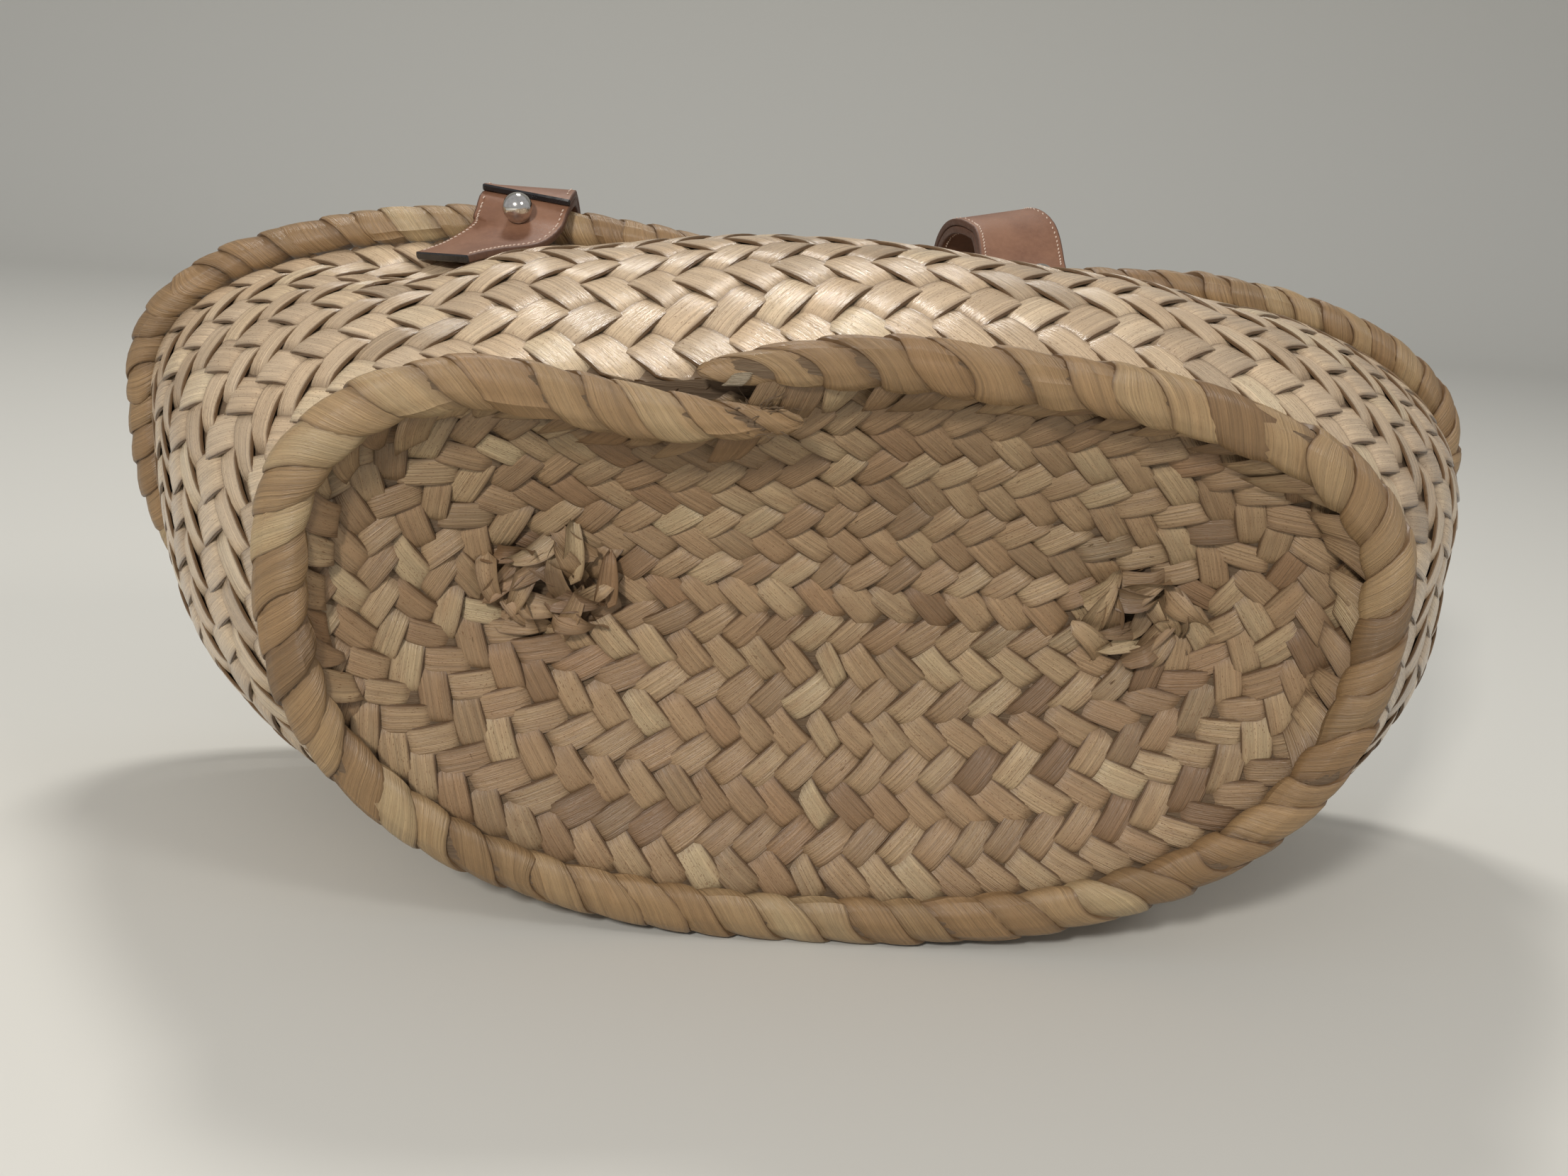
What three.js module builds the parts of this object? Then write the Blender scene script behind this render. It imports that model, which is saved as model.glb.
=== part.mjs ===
// Straw basket bag lying on its long back panel, its oval base towards -Y.
// Millimetres, X along the bag's width, Y from the base to the mouth, Z up.
import * as THREE from "three";

// Lean of the base and of the mouth towards the viewer, from upright
const BASE_LEAN = THREE.MathUtils.degToRad(10);
const RIM_LEAN = THREE.MathUtils.degToRad(7.6);

// Outline of the base at the outside of its coil
const BASE_X = 1.5;
const BASE_HALF = 146.5;
const BASE_UP = 74;
const BASE_LOW = 100;
const BASE_POWER_UP = 2.78;
const BASE_POWER_LOW = 2.36;
const BASE_SAG = 11;
const BASE_SAG_X = -50;
const BASE_SAG_WIDTH = 40;

// Line of the rim coil's core in the plane of the mouth
const RIM_X = -1;
const RIM_HALF = 212;
const RIM_UP = 69;
const RIM_LOW = 109.5;
const RIM_POWER_UP = 2.55;
const RIM_POWER_LOW = 2.8;
const RIM_SAG = 17;
const RIM_SAG_X = 20;
const RIM_SAG_WIDTH = 88;
const RIM_Y = 135;
const RIM_Z = 8.3;
const RIM_MID = 112;

// Woven shell
const WALL = 2.8;
const GAP = 0.3;
const DENT = 21;
const EYE_X = 4;
const EYE_HALF = 78;
const EYE_RISE = 7;
const EYE_HEIGHT = 92;
const CORNER_INSET = 4;
const MOUTH_INSET = 4;
const MOUTH_SHORT = 5.2;

// Wrapped coils, as half sizes across the panel and along the bag
const BASE_COIL_WIDE = 7;
const BASE_COIL_DEEP = 4.5;
const RIM_COIL_WIDE = 6;
const RIM_COIL_DEEP = 6.3;

// Leather straps and their ball studs
const STRAP_WIDTH = 28;
const STRAP_THICK = 2.4;
const FACING_THICK = 1.9;
const FACING_SEAT = 0.4;
const STUD_RADIUS = 4.5;
const STUD_CENTRE = 3.3;
const STUD_NECK = 2.4;
const STUD_FLANGE = 3.4;
const STUD_FLANGE_THICK = 0.7;

// How far the wall swells out half way between base and mouth, as shares of
// the most, by angle round the bag: 0 is the right side, 90 the upper panel
const SWELL_MOST = 22;
const SWELL = [
  { angle: 0, out: 0.55 },
  { angle: 30, out: 0.36 },
  { angle: 60, out: 0.55 },
  { angle: 75, out: 0.8 },
  { angle: 90, out: 1 },
  { angle: 108, out: 0.64 },
  { angle: 125, out: 0.18 },
  { angle: 150, out: 0.18 },
  { angle: 180, out: 0.41 },
  { angle: 205, out: 0.64 },
  { angle: 235, out: 0.68 },
  { angle: 252, out: 0.23 },
  { angle: 270, out: 0 },
  { angle: 288, out: 0.23 },
  { angle: 305, out: 0.73 },
  { angle: 330, out: 0.82 },
  { angle: 345, out: 0.77 },
  { angle: 360, out: 0.55 },
];

// Hollows pressed into the wall: wide in degrees round the bag, long as a
// share of the wall, deep as a share of the deepest
const HOLLOW_DEEPEST = 8;
const HOLLOWS = [
  { angle: 75, share: 0.84, wide: 12, long: 0.2, depth: 1.3 },
  { angle: 118, share: 0.8, wide: 12.5, long: 0.2, depth: 1.2 },
];

const AROUND = 72;
const WALL_STEPS = 9;
const BASE_STEPS = 6;
const COIL_STEPS = 72;
const COIL_SIDES = 8;

const rad = THREE.MathUtils.degToRad;
const bump = (x, middle, width) => Math.exp(-(((x - middle) / width) ** 2));

// Point of a rounded oval whose upper and lower halves differ
function oval(angle, half, up, low, powerUp, powerLow) {
  const c = Math.cos(angle);
  const s = Math.sin(angle);
  const power = 2 / (s > 0 ? powerUp : powerLow);
  const x = half * Math.sign(c) * Math.abs(c) ** power;
  const t = (s > 0 ? up : low) * Math.sign(s) * Math.abs(s) ** power;
  return [x, t];
}

// Outside of the base coil in the plane of the base: across, up
function baseOutline(angle) {
  const [x, t] = oval(angle, BASE_HALF, BASE_UP, BASE_LOW, BASE_POWER_UP, BASE_POWER_LOW);
  const sag = BASE_SAG * bump(x + BASE_X, BASE_SAG_X, BASE_SAG_WIDTH) * Math.max(Math.sin(angle), 0);
  return [x + BASE_X, t - sag + BASE_LOW];
}

// Core of the rim coil in the plane of the mouth: across, up
function rimLine(angle) {
  const [x, t] = oval(angle, RIM_HALF, RIM_UP, RIM_LOW, RIM_POWER_UP, RIM_POWER_LOW);
  const sag = RIM_SAG * bump(x + RIM_X, RIM_SAG_X, RIM_SAG_WIDTH) * Math.max(Math.sin(angle), 0);
  return [x + RIM_X, t - sag + RIM_MID];
}

// The same line moved inwards by a distance
function inset(line, angle, distance) {
  const step = 1e-3;
  const [x, t] = line(angle);
  const [x1, t1] = line(angle + step);
  const [x0, t0] = line(angle - step);
  const dx = x1 - x0;
  const dt = t1 - t0;
  const length = Math.hypot(dx, dt);
  return [x - (distance * dt) / length, t + (distance * dx) / length];
}

// Plane of the base to space; out is the distance towards the viewer
function onBase([x, t], out) {
  const s = Math.sin(BASE_LEAN);
  const c = Math.cos(BASE_LEAN);
  return new THREE.Vector3(x, -t * s - out * c, t * c - out * s);
}

// Plane of the mouth to space; along is the distance beyond the mouth
function onRim([x, t], along) {
  const s = Math.sin(RIM_LEAN);
  const c = Math.cos(RIM_LEAN);
  return new THREE.Vector3(x, RIM_Y - t * s + along * c, RIM_Z + t * c + along * s);
}

function swell(degrees) {
  const next = Math.max(SWELL.findIndex((row) => degrees <= row.angle), 1);
  const from = SWELL[next - 1];
  const to = SWELL[next];
  const share = THREE.MathUtils.smoothstep(degrees, from.angle, to.angle);
  return SWELL_MOST * (from.out + (to.out - from.out) * share);
}

function hollow(degrees, share) {
  const depths = HOLLOWS.map((row) => HOLLOW_DEEPEST * row.depth * bump(degrees, row.angle, row.wide)
    * bump(share, row.share, row.long) * (1 - share ** 12));
  return depths.reduce((sum, depth) => sum + depth, 0);
}

// Wall of the bag: share 0 at the base, 1 at the rim coil; off is a
// distance outwards from the wall's outer face
function wallPoint(angle, share, off = 0) {
  const degrees = THREE.MathUtils.euclideanModulo(THREE.MathUtils.radToDeg(angle), 360);
  const low = onBase(inset(baseOutline, angle, CORNER_INSET - off), -BASE_COIL_DEEP - GAP);
  const high = onRim(inset(rimLine, angle, MOUTH_INSET - off), -MOUTH_SHORT);
  const out = swell(degrees) * Math.sin(Math.PI * share) ** 0.9 - hollow(degrees, share);
  const outward = new THREE.Vector3(Math.cos(angle), 0, Math.sin(angle));
  return low.lerp(high, share).addScaledVector(outward, out);
}

// Base panel: share 0 inside the coil, 1 round the flat middle between the eyes
function basePoint(angle, share) {
  const [x, t] = inset(baseOutline, angle, 2 * BASE_COIL_WIDE);
  const eyeX = EYE_X + EYE_HALF * Math.cos(angle);
  const eyeT = EYE_HEIGHT + EYE_RISE * Math.sin(angle);
  const point = [x + (eyeX - x) * share, t + (eyeT - t) * share];
  return onBase(point, -BASE_COIL_DEEP - GAP - DENT * Math.sin((Math.PI / 2) * share));
}

function shellColumn(angle) {
  const points = [];
  for (let i = WALL_STEPS; i >= 0; i -= 1) {
    points.push(wallPoint(angle, i / WALL_STEPS));
  }
  for (let i = 0; i <= BASE_STEPS; i += 1) {
    points.push(basePoint(angle, i / BASE_STEPS));
  }
  return points;
}

function addQuad(index, a, b, c, d) {
  index.push(a, b, c, a, c, d);
}

function meshGeometry(points, index) {
  const geometry = new THREE.BufferGeometry();
  geometry.setAttribute("position", new THREE.Float32BufferAttribute(points.flatMap((p) => [p.x, p.y, p.z]), 3));
  geometry.setIndex(index);
  geometry.computeVertexNormals();
  return geometry;
}

// Angles at which a closed line is cut into even lengths
function evenAngles(place, count) {
  const fine = 1440;
  const lengths = [0];
  for (let i = 1; i <= fine; i += 1) {
    const from = place((2 * Math.PI * (i - 1)) / fine);
    lengths.push(lengths[i - 1] + from.distanceTo(place((2 * Math.PI * i) / fine)));
  }
  return Array.from({ length: count }, (_, k) => {
    const wanted = (lengths[fine] * k) / count;
    const i = lengths.findIndex((length) => length > wanted);
    const part = (wanted - lengths[i - 1]) / (lengths[i] - lengths[i - 1]);
    return (2 * Math.PI * (i - 1 + part)) / fine;
  });
}

// Outer skin of the shell as rows of points round the bag
function outerRows() {
  const columns = evenAngles((angle) => wallPoint(angle, 0.5), AROUND).map(shellColumn);
  return columns[0].map((_, row) => columns.map((column) => column[row]));
}

function ringMiddle(ring) {
  return ring.reduce((sum, p) => sum.add(p), new THREE.Vector3()).divideScalar(ring.length);
}

// Unit directions into the bag, made longer where the skin turns a corner
// and kept in the plane of the mouth along the wall's edge
function inwardRows(rows) {
  const mouthAxis = onRim([0, 0], 1).sub(onRim([0, 0], 0));
  const middle = ringMiddle(rows[rows.length - 1]);
  return rows.map((row, j) => row.map((point, i) => {
    const ahead = row[(i + 1) % AROUND];
    const behind = row[(i + AROUND - 1) % AROUND];
    const along = new THREE.Vector3().subVectors(ahead, behind);
    const before = rows[Math.max(j - 1, 0)][i];
    const after = j + 1 < rows.length ? rows[j + 1][i] : middle;
    const first = new THREE.Vector3().subVectors(point, before).cross(along).normalize();
    const second = new THREE.Vector3().subVectors(after, point).cross(along).normalize();
    const sum = first.clone().add(second);
    if (j === 0) {
      return sum.addScaledVector(mouthAxis, -sum.dot(mouthAxis)).normalize();
    }
    return sum.multiplyScalar(2 / sum.lengthSq());
  }));
}

// Woven shell: side wall and base in one piece, open at the mouth
function basketBody() {
  const rows = outerRows();
  const inward = inwardRows(rows);
  const inner = rows.map((row, j) => row.map((p, i) => p.clone().addScaledVector(inward[j][i], WALL)));
  const points = [...rows.flat(), ...inner.flat()];
  const last = rows.length - 1;
  const at = (side, j, i) => (side * rows.length + j) * AROUND + (i % AROUND);
  const index = [];
  for (let j = 0; j < last; j += 1) {
    for (let i = 0; i < AROUND; i += 1) {
      addQuad(index, at(0, j, i), at(0, j, i + 1), at(0, j + 1, i + 1), at(0, j + 1, i));
      addQuad(index, at(1, j, i), at(1, j + 1, i), at(1, j + 1, i + 1), at(1, j, i + 1));
    }
  }
  for (let i = 0; i < AROUND; i += 1) {
    addQuad(index, at(0, 0, i), at(1, 0, i), at(1, 0, i + 1), at(0, 0, i + 1));
  }
  points.push(ringMiddle(rows[last]), ringMiddle(inner[last]));
  const [outside, inside] = [points.length - 2, points.length - 1];
  for (let i = 0; i < AROUND; i += 1) {
    index.push(at(0, last, i), at(0, last, i + 1), outside);
    index.push(at(1, last, i + 1), at(1, last, i), inside);
  }
  return meshGeometry(points, index);
}

// Closed ring or open bar carried along rows of section points; the far half
// of each section is split the other way, so that facing sides match
function sweepGeometry(sections, closed) {
  const sides = sections[0].length;
  const points = sections.flat();
  const index = [];
  const count = closed ? sections.length : sections.length - 1;
  for (let j = 0; j < count; j += 1) {
    const next = (j + 1) % sections.length;
    for (let i = 0; i < sides; i += 1) {
      const k = (i + 1) % sides;
      const corners = [j * sides + i, j * sides + k, next * sides + k, next * sides + i];
      if (i >= sides / 2) {
        corners.push(corners.shift());
      }
      addQuad(index, ...corners);
    }
  }
  if (!closed) {
    const end = (sections.length - 1) * sides;
    for (let i = 1; i < sides - 1; i += 1) {
      index.push(0, i + 1, i);
      index.push(end, end + i, end + i + 1);
    }
  }
  return meshGeometry(points, index);
}

function coilSection(place, angle, wide, deep, shift) {
  const section = [];
  for (let i = 0; i < COIL_SIDES; i += 1) {
    const turn = (2 * Math.PI * i) / COIL_SIDES;
    section.push(place(angle, wide * Math.cos(turn) + shift, deep * Math.sin(turn)));
  }
  return section;
}

function rimCoil() {
  const place = (angle, out, along) => onRim(inset(rimLine, angle, -out), along);
  const angles = evenAngles((angle) => onRim(rimLine(angle), 0), COIL_STEPS);
  return sweepGeometry(angles.map((angle) => coilSection(place, angle, RIM_COIL_WIDE, RIM_COIL_DEEP, 0)), true);
}

// Base coil: one length whose tapered start lies outside its own end. The
// start is set out and the end is set in, in the coil's half widths, and both
// come back to the coil's line over a number of degrees.
const SPLICE_START = 99.5;
const SPLICE_END = 93 - 360;
const SPLICE_TAPER = 11;
const SPLICE_OUT = 0.8;
const SPLICE_OUT_LONG = 17;
const SPLICE_IN = 1.53;
const SPLICE_IN_LONG = 32;
const SPLICE_IN_POWER = 2.4;

function baseCoil() {
  const place = (angle, out, along) => onBase(inset(baseOutline, angle, BASE_COIL_WIDE - out), along);
  const sections = [];
  for (let i = 0; i <= COIL_STEPS; i += 1) {
    const degrees = SPLICE_START + ((SPLICE_END - SPLICE_START) * i) / COIL_STEPS;
    const fromStart = THREE.MathUtils.smoothstep(SPLICE_START - degrees, 0, SPLICE_TAPER);
    const fromEnd = THREE.MathUtils.smoothstep(degrees - SPLICE_END, 0, SPLICE_TAPER);
    const size = 0.5 + 0.5 * Math.min(fromStart, fromEnd);
    const setOut = SPLICE_OUT * (1 - THREE.MathUtils.smoothstep(SPLICE_START - degrees, 0, SPLICE_OUT_LONG));
    const setIn = SPLICE_IN * Math.max(1 - (degrees - SPLICE_END) / SPLICE_IN_LONG, 0) ** SPLICE_IN_POWER;
    const shift = (setOut - setIn) * BASE_COIL_WIDE;
    sections.push(coilSection(place, rad(degrees), BASE_COIL_WIDE * size, BASE_COIL_DEEP * size, shift));
  }
  return sweepGeometry(sections, false);
}

// Stations of a strap's inner face. On the wall: angle, share of the wall,
// and distance off it in strap thicknesses. At the rim: angle, outward and
// onward distance from the coil's core in its half depths. Free: a place as
// shares of the mouth's half width, the bag's length and the mouth's height,
// and the way the strap's width points there.
const MOUTH_HEIGHT = RIM_UP + RIM_LOW;
const FRONT_ROUTE = [
  { free: [-0.541, 0.607, 0.957], wide: [0.9, -0.42, 0.17] },
  { free: [-0.497, 0.669, 0.976], wide: [0.9, -0.4, 0.13] },
  { free: [-0.457, 0.726, 1.001], wide: [0.93, -0.3, 0] },
  { free: [-0.446, 0.762, 1.025], wide: [0.97, -0.2, -0.1] },
  { rim: [110.4, 0.95, -0.84] },
  { rim: [110.1, 1.08, 0] },
  { rim: [110.1, 0.86, 0.86] },
  { rim: [109.8, -0.24, 1.56] },
  { free: [-0.42, 0.941, 0.874], wide: [1, -0.2, 0] },
  { free: [-0.406, 1.015, 0.683], wide: [0.92, 0.38, 0] },
  { free: [-0.358, 1.119, 0.493], wide: [0.6, 0.8, 0] },
  { free: [-0.236, 1.185, 0.314], wide: [0.2, 0.98, 0] },
  { free: [-0.066, 1.207, 0.241], wide: [0, 1, 0] },
  { free: [0.094, 1.2, 0.291], wide: [-0.15, 0.98, 0] },
  { free: [0.203, 1.163, 0.459], wide: [-0.45, 0.89, 0] },
  { free: [0.255, 1.126, 0.661], wide: [-0.75, 0.66, 0] },
  { free: [0.259, 1.096, 0.829], wide: [-0.95, 0.2, -0.05] },
  { free: [0.245, 1.059, 0.969], wide: [-0.94, -0.15, -0.16] },
  { free: [0.245, 0.996, 1.045], wide: [-0.94, -0.26, -0.18] },
  { free: [0.255, 0.926, 1.069], wide: [-0.94, -0.28, -0.18] },
  { free: [0.274, 0.867, 1.06], wide: [-0.93, -0.33, -0.15] },
  { free: [0.282, 0.776, 1.003], wide: [-0.9, -0.36, -0.15] },
  { free: [0.284, 0.733, 0.98], wide: [-0.92, -0.34, -0.12] },
  { wall: [77, 0.87, 1.3] },
  { wall: [76.6, 0.79, 1.25] },
];

const BACK_ROUTE = [
  { wall: [252, 0.7, 0.88] },
  { wall: [252, 0.82, 0.75] },
  { rim: [252, 0.86, -1.43] },
  { rim: [252, 1.05, 0] },
  { rim: [252, 1.02, 1.11] },
  { free: [-0.448, 1.185, 0.049], wide: [-1, 0, 0.06] },
  { free: [-0.458, 1.348, 0.056], wide: [-0.95, 0, 0.3] },
  { free: [-0.443, 1.541, 0.077], wide: [-0.72, -0.1, 0.7] },
  { free: [-0.382, 1.763, 0.085], wide: [-0.2, -0.15, 0.97] },
  { free: [-0.255, 1.933, 0.082], wide: [0, 0, 1] },
  { free: [-0.094, 2.007, 0.081], wide: [0, 0, 1] },
  { free: [0.094, 2.007, 0.081], wide: [0, 0, 1] },
  { free: [0.255, 1.933, 0.082], wide: [0, 0, 1] },
  { free: [0.382, 1.763, 0.085], wide: [0.2, -0.15, 0.97] },
  { free: [0.443, 1.541, 0.077], wide: [0.72, -0.1, 0.7] },
  { free: [0.458, 1.348, 0.056], wide: [0.95, 0, 0.3] },
  { free: [0.448, 1.185, 0.049], wide: [1, 0, 0.06] },
  { rim: [288, 1.02, 1.11] },
  { rim: [288, 1.05, 0] },
  { rim: [288, 0.86, -1.43] },
  { wall: [288, 0.82, 0.88] },
  { wall: [288, 0.7, 1.04] },
];

const STRAP_STEPS = 76;
const FACING_FIRST = 6;
const FACING_LAST = 72;

// Where each stud sits: steps from the strap's end, and millimetres aside
// and off the leather
const STUDS = [
  { name: "front_left_stud", strap: "front", fromStart: true, step: 5, aside: 0, seat: 0.5 },
  { name: "front_right_stud", strap: "front", fromStart: false, step: 1, aside: 0, seat: 1.1 },
  { name: "back_left_stud", strap: "back", fromStart: true, step: 4, aside: 0, seat: 0.4 },
  { name: "back_right_stud", strap: "back", fromStart: false, step: 2, aside: 0, seat: 0.7 },
];

function stationPlace(row, shift = 0) {
  if (row.free) {
    const [x, y, z] = row.free;
    return new THREE.Vector3(x * RIM_HALF, y * RIM_Y, z * MOUTH_HEIGHT);
  }
  if (row.wall) {
    return wallPoint(rad(row.wall[0] + shift), row.wall[1], row.wall[2] * STRAP_THICK);
  }
  const [angle, out, along] = row.rim;
  return onRim(inset(rimLine, rad(angle + shift), -out * RIM_COIL_DEEP), along * RIM_COIL_DEEP);
}

// The way the strap's width points: as given, or so that it lies flat on
// what it runs over
function stationWide(row, along) {
  if (row.free) {
    return new THREE.Vector3(...row.wide).normalize();
  }
  const angle = rad((row.wall ?? row.rim)[0]);
  const ring = stationPlace(row, 0.5).sub(stationPlace(row, -0.5));
  const normal = ring.cross(along).normalize();
  const outward = new THREE.Vector3(Math.cos(angle), 0, Math.sin(angle));
  if (normal.dot(outward) < 0) {
    normal.negate();
  }
  return along.clone().cross(normal).normalize();
}

// Frames evenly spaced along a strap: place, width direction and outer side
function strapFrames(route) {
  const line = new THREE.CatmullRomCurve3(route.map((row) => stationPlace(row)), false, "centripetal");
  line.arcLengthDivisions = 800;
  const last = route.length - 1;
  const widths = route.map((row, i) => stationWide(row, line.getTangent(i / last)));
  const frames = [];
  for (let i = 0; i <= STRAP_STEPS; i += 1) {
    const u = line.getUtoTmapping(i / STRAP_STEPS);
    const along = line.getTangent(u);
    const index = Math.min(Math.floor(u * last), last - 1);
    const wide = widths[index].clone().lerp(widths[index + 1], u * last - index);
    wide.addScaledVector(along, -wide.dot(along)).normalize();
    frames.push({ place: line.getPoint(u), wide, out: new THREE.Vector3().crossVectors(wide, along) });
  }
  return frames;
}

function strapSections(frames, from, to) {
  return frames.map(({ place, wide, out }) => [
    [-0.5, from],
    [-0.5, to],
    [0, to],
    [0.5, to],
    [0.5, from],
    [0, from],
  ].map(([w, t]) => place.clone().addScaledVector(wide, w * STRAP_WIDTH).addScaledVector(out, t)));
}

function strap(frames) {
  return sweepGeometry(strapSections(frames, 0, STRAP_THICK), false);
}

function facing(frames) {
  const from = STRAP_THICK + FACING_SEAT;
  const part = frames.slice(FACING_FIRST, FACING_LAST + 1);
  return sweepGeometry(strapSections(part, from, from + FACING_THICK), false);
}

// Ball stud turned round its own axis, its flange on the leather
function studGeometry() {
  const profile = [
    new THREE.Vector2(0, 0),
    new THREE.Vector2(STUD_FLANGE, 0),
    new THREE.Vector2(STUD_FLANGE, STUD_FLANGE_THICK),
  ];
  const neck = Math.asin(STUD_NECK / STUD_RADIUS);
  const steps = 8;
  for (let i = 0; i < steps; i += 1) {
    const turn = neck + ((Math.PI - neck) * i) / steps;
    const height = STUD_CENTRE + STUD_RADIUS * (i === 0 ? 0 : 1) * -Math.cos(turn);
    profile.push(new THREE.Vector2(STUD_RADIUS * Math.sin(turn), Math.max(height, STUD_FLANGE_THICK)));
  }
  profile.push(new THREE.Vector2(0, STUD_CENTRE + STUD_RADIUS));
  return new THREE.LatheGeometry(profile, 12);
}

function studOn(frames, { fromStart, step, aside, seat }) {
  const { place, wide, out } = frames.at(fromStart ? step : -1 - step);
  const foot = place.clone().addScaledVector(out, STRAP_THICK + seat).addScaledVector(wide, aside);
  const geometry = studGeometry();
  geometry.applyQuaternion(new THREE.Quaternion().setFromUnitVectors(new THREE.Vector3(0, 1, 0), out));
  return geometry.translate(foot.x, foot.y, foot.z);
}

const STRAW = { color: 0xcdb391, roughness: 0.62, metalness: 0 };
const COIL_STRAW = { color: 0xc4a47c, roughness: 0.6, metalness: 0 };
const LEATHER = { color: 0x8a5d45, roughness: 0.42, metalness: 0 };
const STEEL = { color: 0xc9c9cc, roughness: 0.18, metalness: 1 };

function piece(name, geometry, look) {
  const mesh = new THREE.Mesh(geometry, new THREE.MeshStandardMaterial(look));
  mesh.name = name;
  return mesh;
}

const bag = new THREE.Group();
bag.name = "straw_basket_bag";
bag.add(piece("basket_body", basketBody(), STRAW));
bag.add(piece("base_coil", baseCoil(), COIL_STRAW));
bag.add(piece("rim_coil", rimCoil(), COIL_STRAW));

const strapLines = { front: strapFrames(FRONT_ROUTE), back: strapFrames(BACK_ROUTE) };
for (const [side, frames] of Object.entries(strapLines)) {
  bag.add(piece(`${side}_strap`, strap(frames), LEATHER));
  bag.add(piece(`${side}_strap_facing`, facing(frames), LEATHER));
}
for (const row of STUDS) {
  bag.add(piece(row.name, studOn(strapLines[row.strap], row), STEEL));
}

// The lowest point stands on the floor, midway under the whole bag
const box = new THREE.Box3().setFromObject(bag);
const middle = box.getCenter(new THREE.Vector3());
for (const mesh of bag.children) {
  mesh.geometry.translate(-middle.x, -middle.y, -box.min.z);
}

export default bag;
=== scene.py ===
# %% [markdown]
# # Straw basket bag
# A basket bag lies on its long back panel with its oval base towards us.
# Leaf strips are plaited on the diagonal into a herringbone, the edges are
# bound coils, and two leather straps are held by ball studs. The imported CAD
# model is loaded first: it fixes every size and place.
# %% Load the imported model
import math

import bpy
import numpy as np
from mathutils import Matrix, Vector


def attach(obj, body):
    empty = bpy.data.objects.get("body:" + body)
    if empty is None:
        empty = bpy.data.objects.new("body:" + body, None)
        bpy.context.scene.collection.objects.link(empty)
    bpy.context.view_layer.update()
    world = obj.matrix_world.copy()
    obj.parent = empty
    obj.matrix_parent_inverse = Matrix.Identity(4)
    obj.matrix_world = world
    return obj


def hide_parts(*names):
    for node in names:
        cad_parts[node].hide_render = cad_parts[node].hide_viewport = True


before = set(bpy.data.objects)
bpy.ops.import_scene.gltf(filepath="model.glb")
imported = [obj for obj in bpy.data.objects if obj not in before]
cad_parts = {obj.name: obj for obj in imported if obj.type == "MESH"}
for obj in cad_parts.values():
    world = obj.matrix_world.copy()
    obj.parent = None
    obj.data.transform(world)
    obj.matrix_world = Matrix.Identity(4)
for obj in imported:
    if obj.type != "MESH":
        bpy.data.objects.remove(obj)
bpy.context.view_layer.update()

# %% [markdown]
# The camera stands where the photographer stood, a little above the bag and
# turned a few degrees to the right. Yaw, pitch and roll were worked out from
# the outlines of the base and the rim.
# %% Camera
CAMERA_PLACE = (-0.037679, -0.550695, 0.215536)
CAMERA_YAW = 0.0624788
CAMERA_DOWN = 0.2614389
CAMERA_ROLL = 0.0805987
CAMERA_LENS = 39.06


def add_object(name, data):
    """An object for a mesh, lamp or camera, linked to the scene."""
    made = bpy.data.objects.new(name, data)
    bpy.context.scene.collection.objects.link(made)
    return made


def add_camera():
    """A camera whose axes are built from yaw, then pitch, then roll about the line of sight."""
    forward = Vector((
        math.sin(CAMERA_YAW) * math.cos(CAMERA_DOWN),
        math.cos(CAMERA_YAW) * math.cos(CAMERA_DOWN),
        -math.sin(CAMERA_DOWN),
    ))
    right = Vector((math.cos(CAMERA_YAW), -math.sin(CAMERA_YAW), 0))
    up = right.cross(forward)
    turned_right = math.cos(CAMERA_ROLL) * right + math.sin(CAMERA_ROLL) * up
    turned_up = math.cos(CAMERA_ROLL) * up - math.sin(CAMERA_ROLL) * right
    camera = add_object("camera", bpy.data.cameras.new("camera"))
    camera.data.lens = CAMERA_LENS
    axes = Matrix((turned_right, turned_up, -forward)).transposed()
    camera.matrix_world = Matrix.Translation(CAMERA_PLACE) @ axes.to_4x4()
    bpy.context.scene.camera = camera
    return camera


camera = add_camera()
print("camera at", tuple(round(v, 3) for v in camera.location))

# %% [markdown]
# The shape of the bag is the same as in the CAD source: a base outline and a
# rim line, each a rounded oval with a sag in its top, leaning a few degrees,
# and a wall that swells between them. Here the functions take whole arrays
# of angles, in millimetres, and the last step moves them to the frame.
# %% Sizes of the bag in millimetres
MM = 0.001
ORIGIN = np.array([0.99905, -121.75128, 0.04779])
BASE_LEAN = math.radians(10)
RIM_LEAN = math.radians(7.6)
BASE_OVAL = {"middle": 1.5, "half": 146.5, "up": 74, "low": 100, "power_up": 2.78, "power_low": 2.36,
             "sag": 11, "sag_at": -50, "sag_width": 40, "height": 100}
RIM_OVAL = {"middle": -1, "half": 212, "up": 69, "low": 109.5, "power_up": 2.55, "power_low": 2.8,
            "sag": 17, "sag_at": 20, "sag_width": 88, "height": 112}
RIM_Y = 135
RIM_Z = 8.3
WALL = 2.8
GAP = 0.3
DENT = 21
EYE_X = 4
EYE_HALF = 80
EYE_RISE = 4.7
EYE_HEIGHT = 92
CORNER_INSET = 4
MOUTH_INSET = 4
MOUTH_SHORT = 5.2
BASE_COIL_WIDE = 7
BASE_COIL_DEEP = 4.5
RIM_COIL_WIDE = 6
RIM_COIL_DEEP = 6.3
SWELL_ANGLES = [0, 30, 60, 75, 90, 108, 125, 150, 180, 205, 235, 252, 270, 288, 305, 330, 345, 360]
SWELL_OUT = [0.55, 0.36, 0.55, 0.8, 1, 0.64, 0.18, 0.18, 0.41,
             0.64, 0.68, 0.23, 0, 0.23, 0.73, 0.82, 0.77, 0.55]
SWELL_MOST = 22
HOLLOW_DEEPEST = 8
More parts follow.
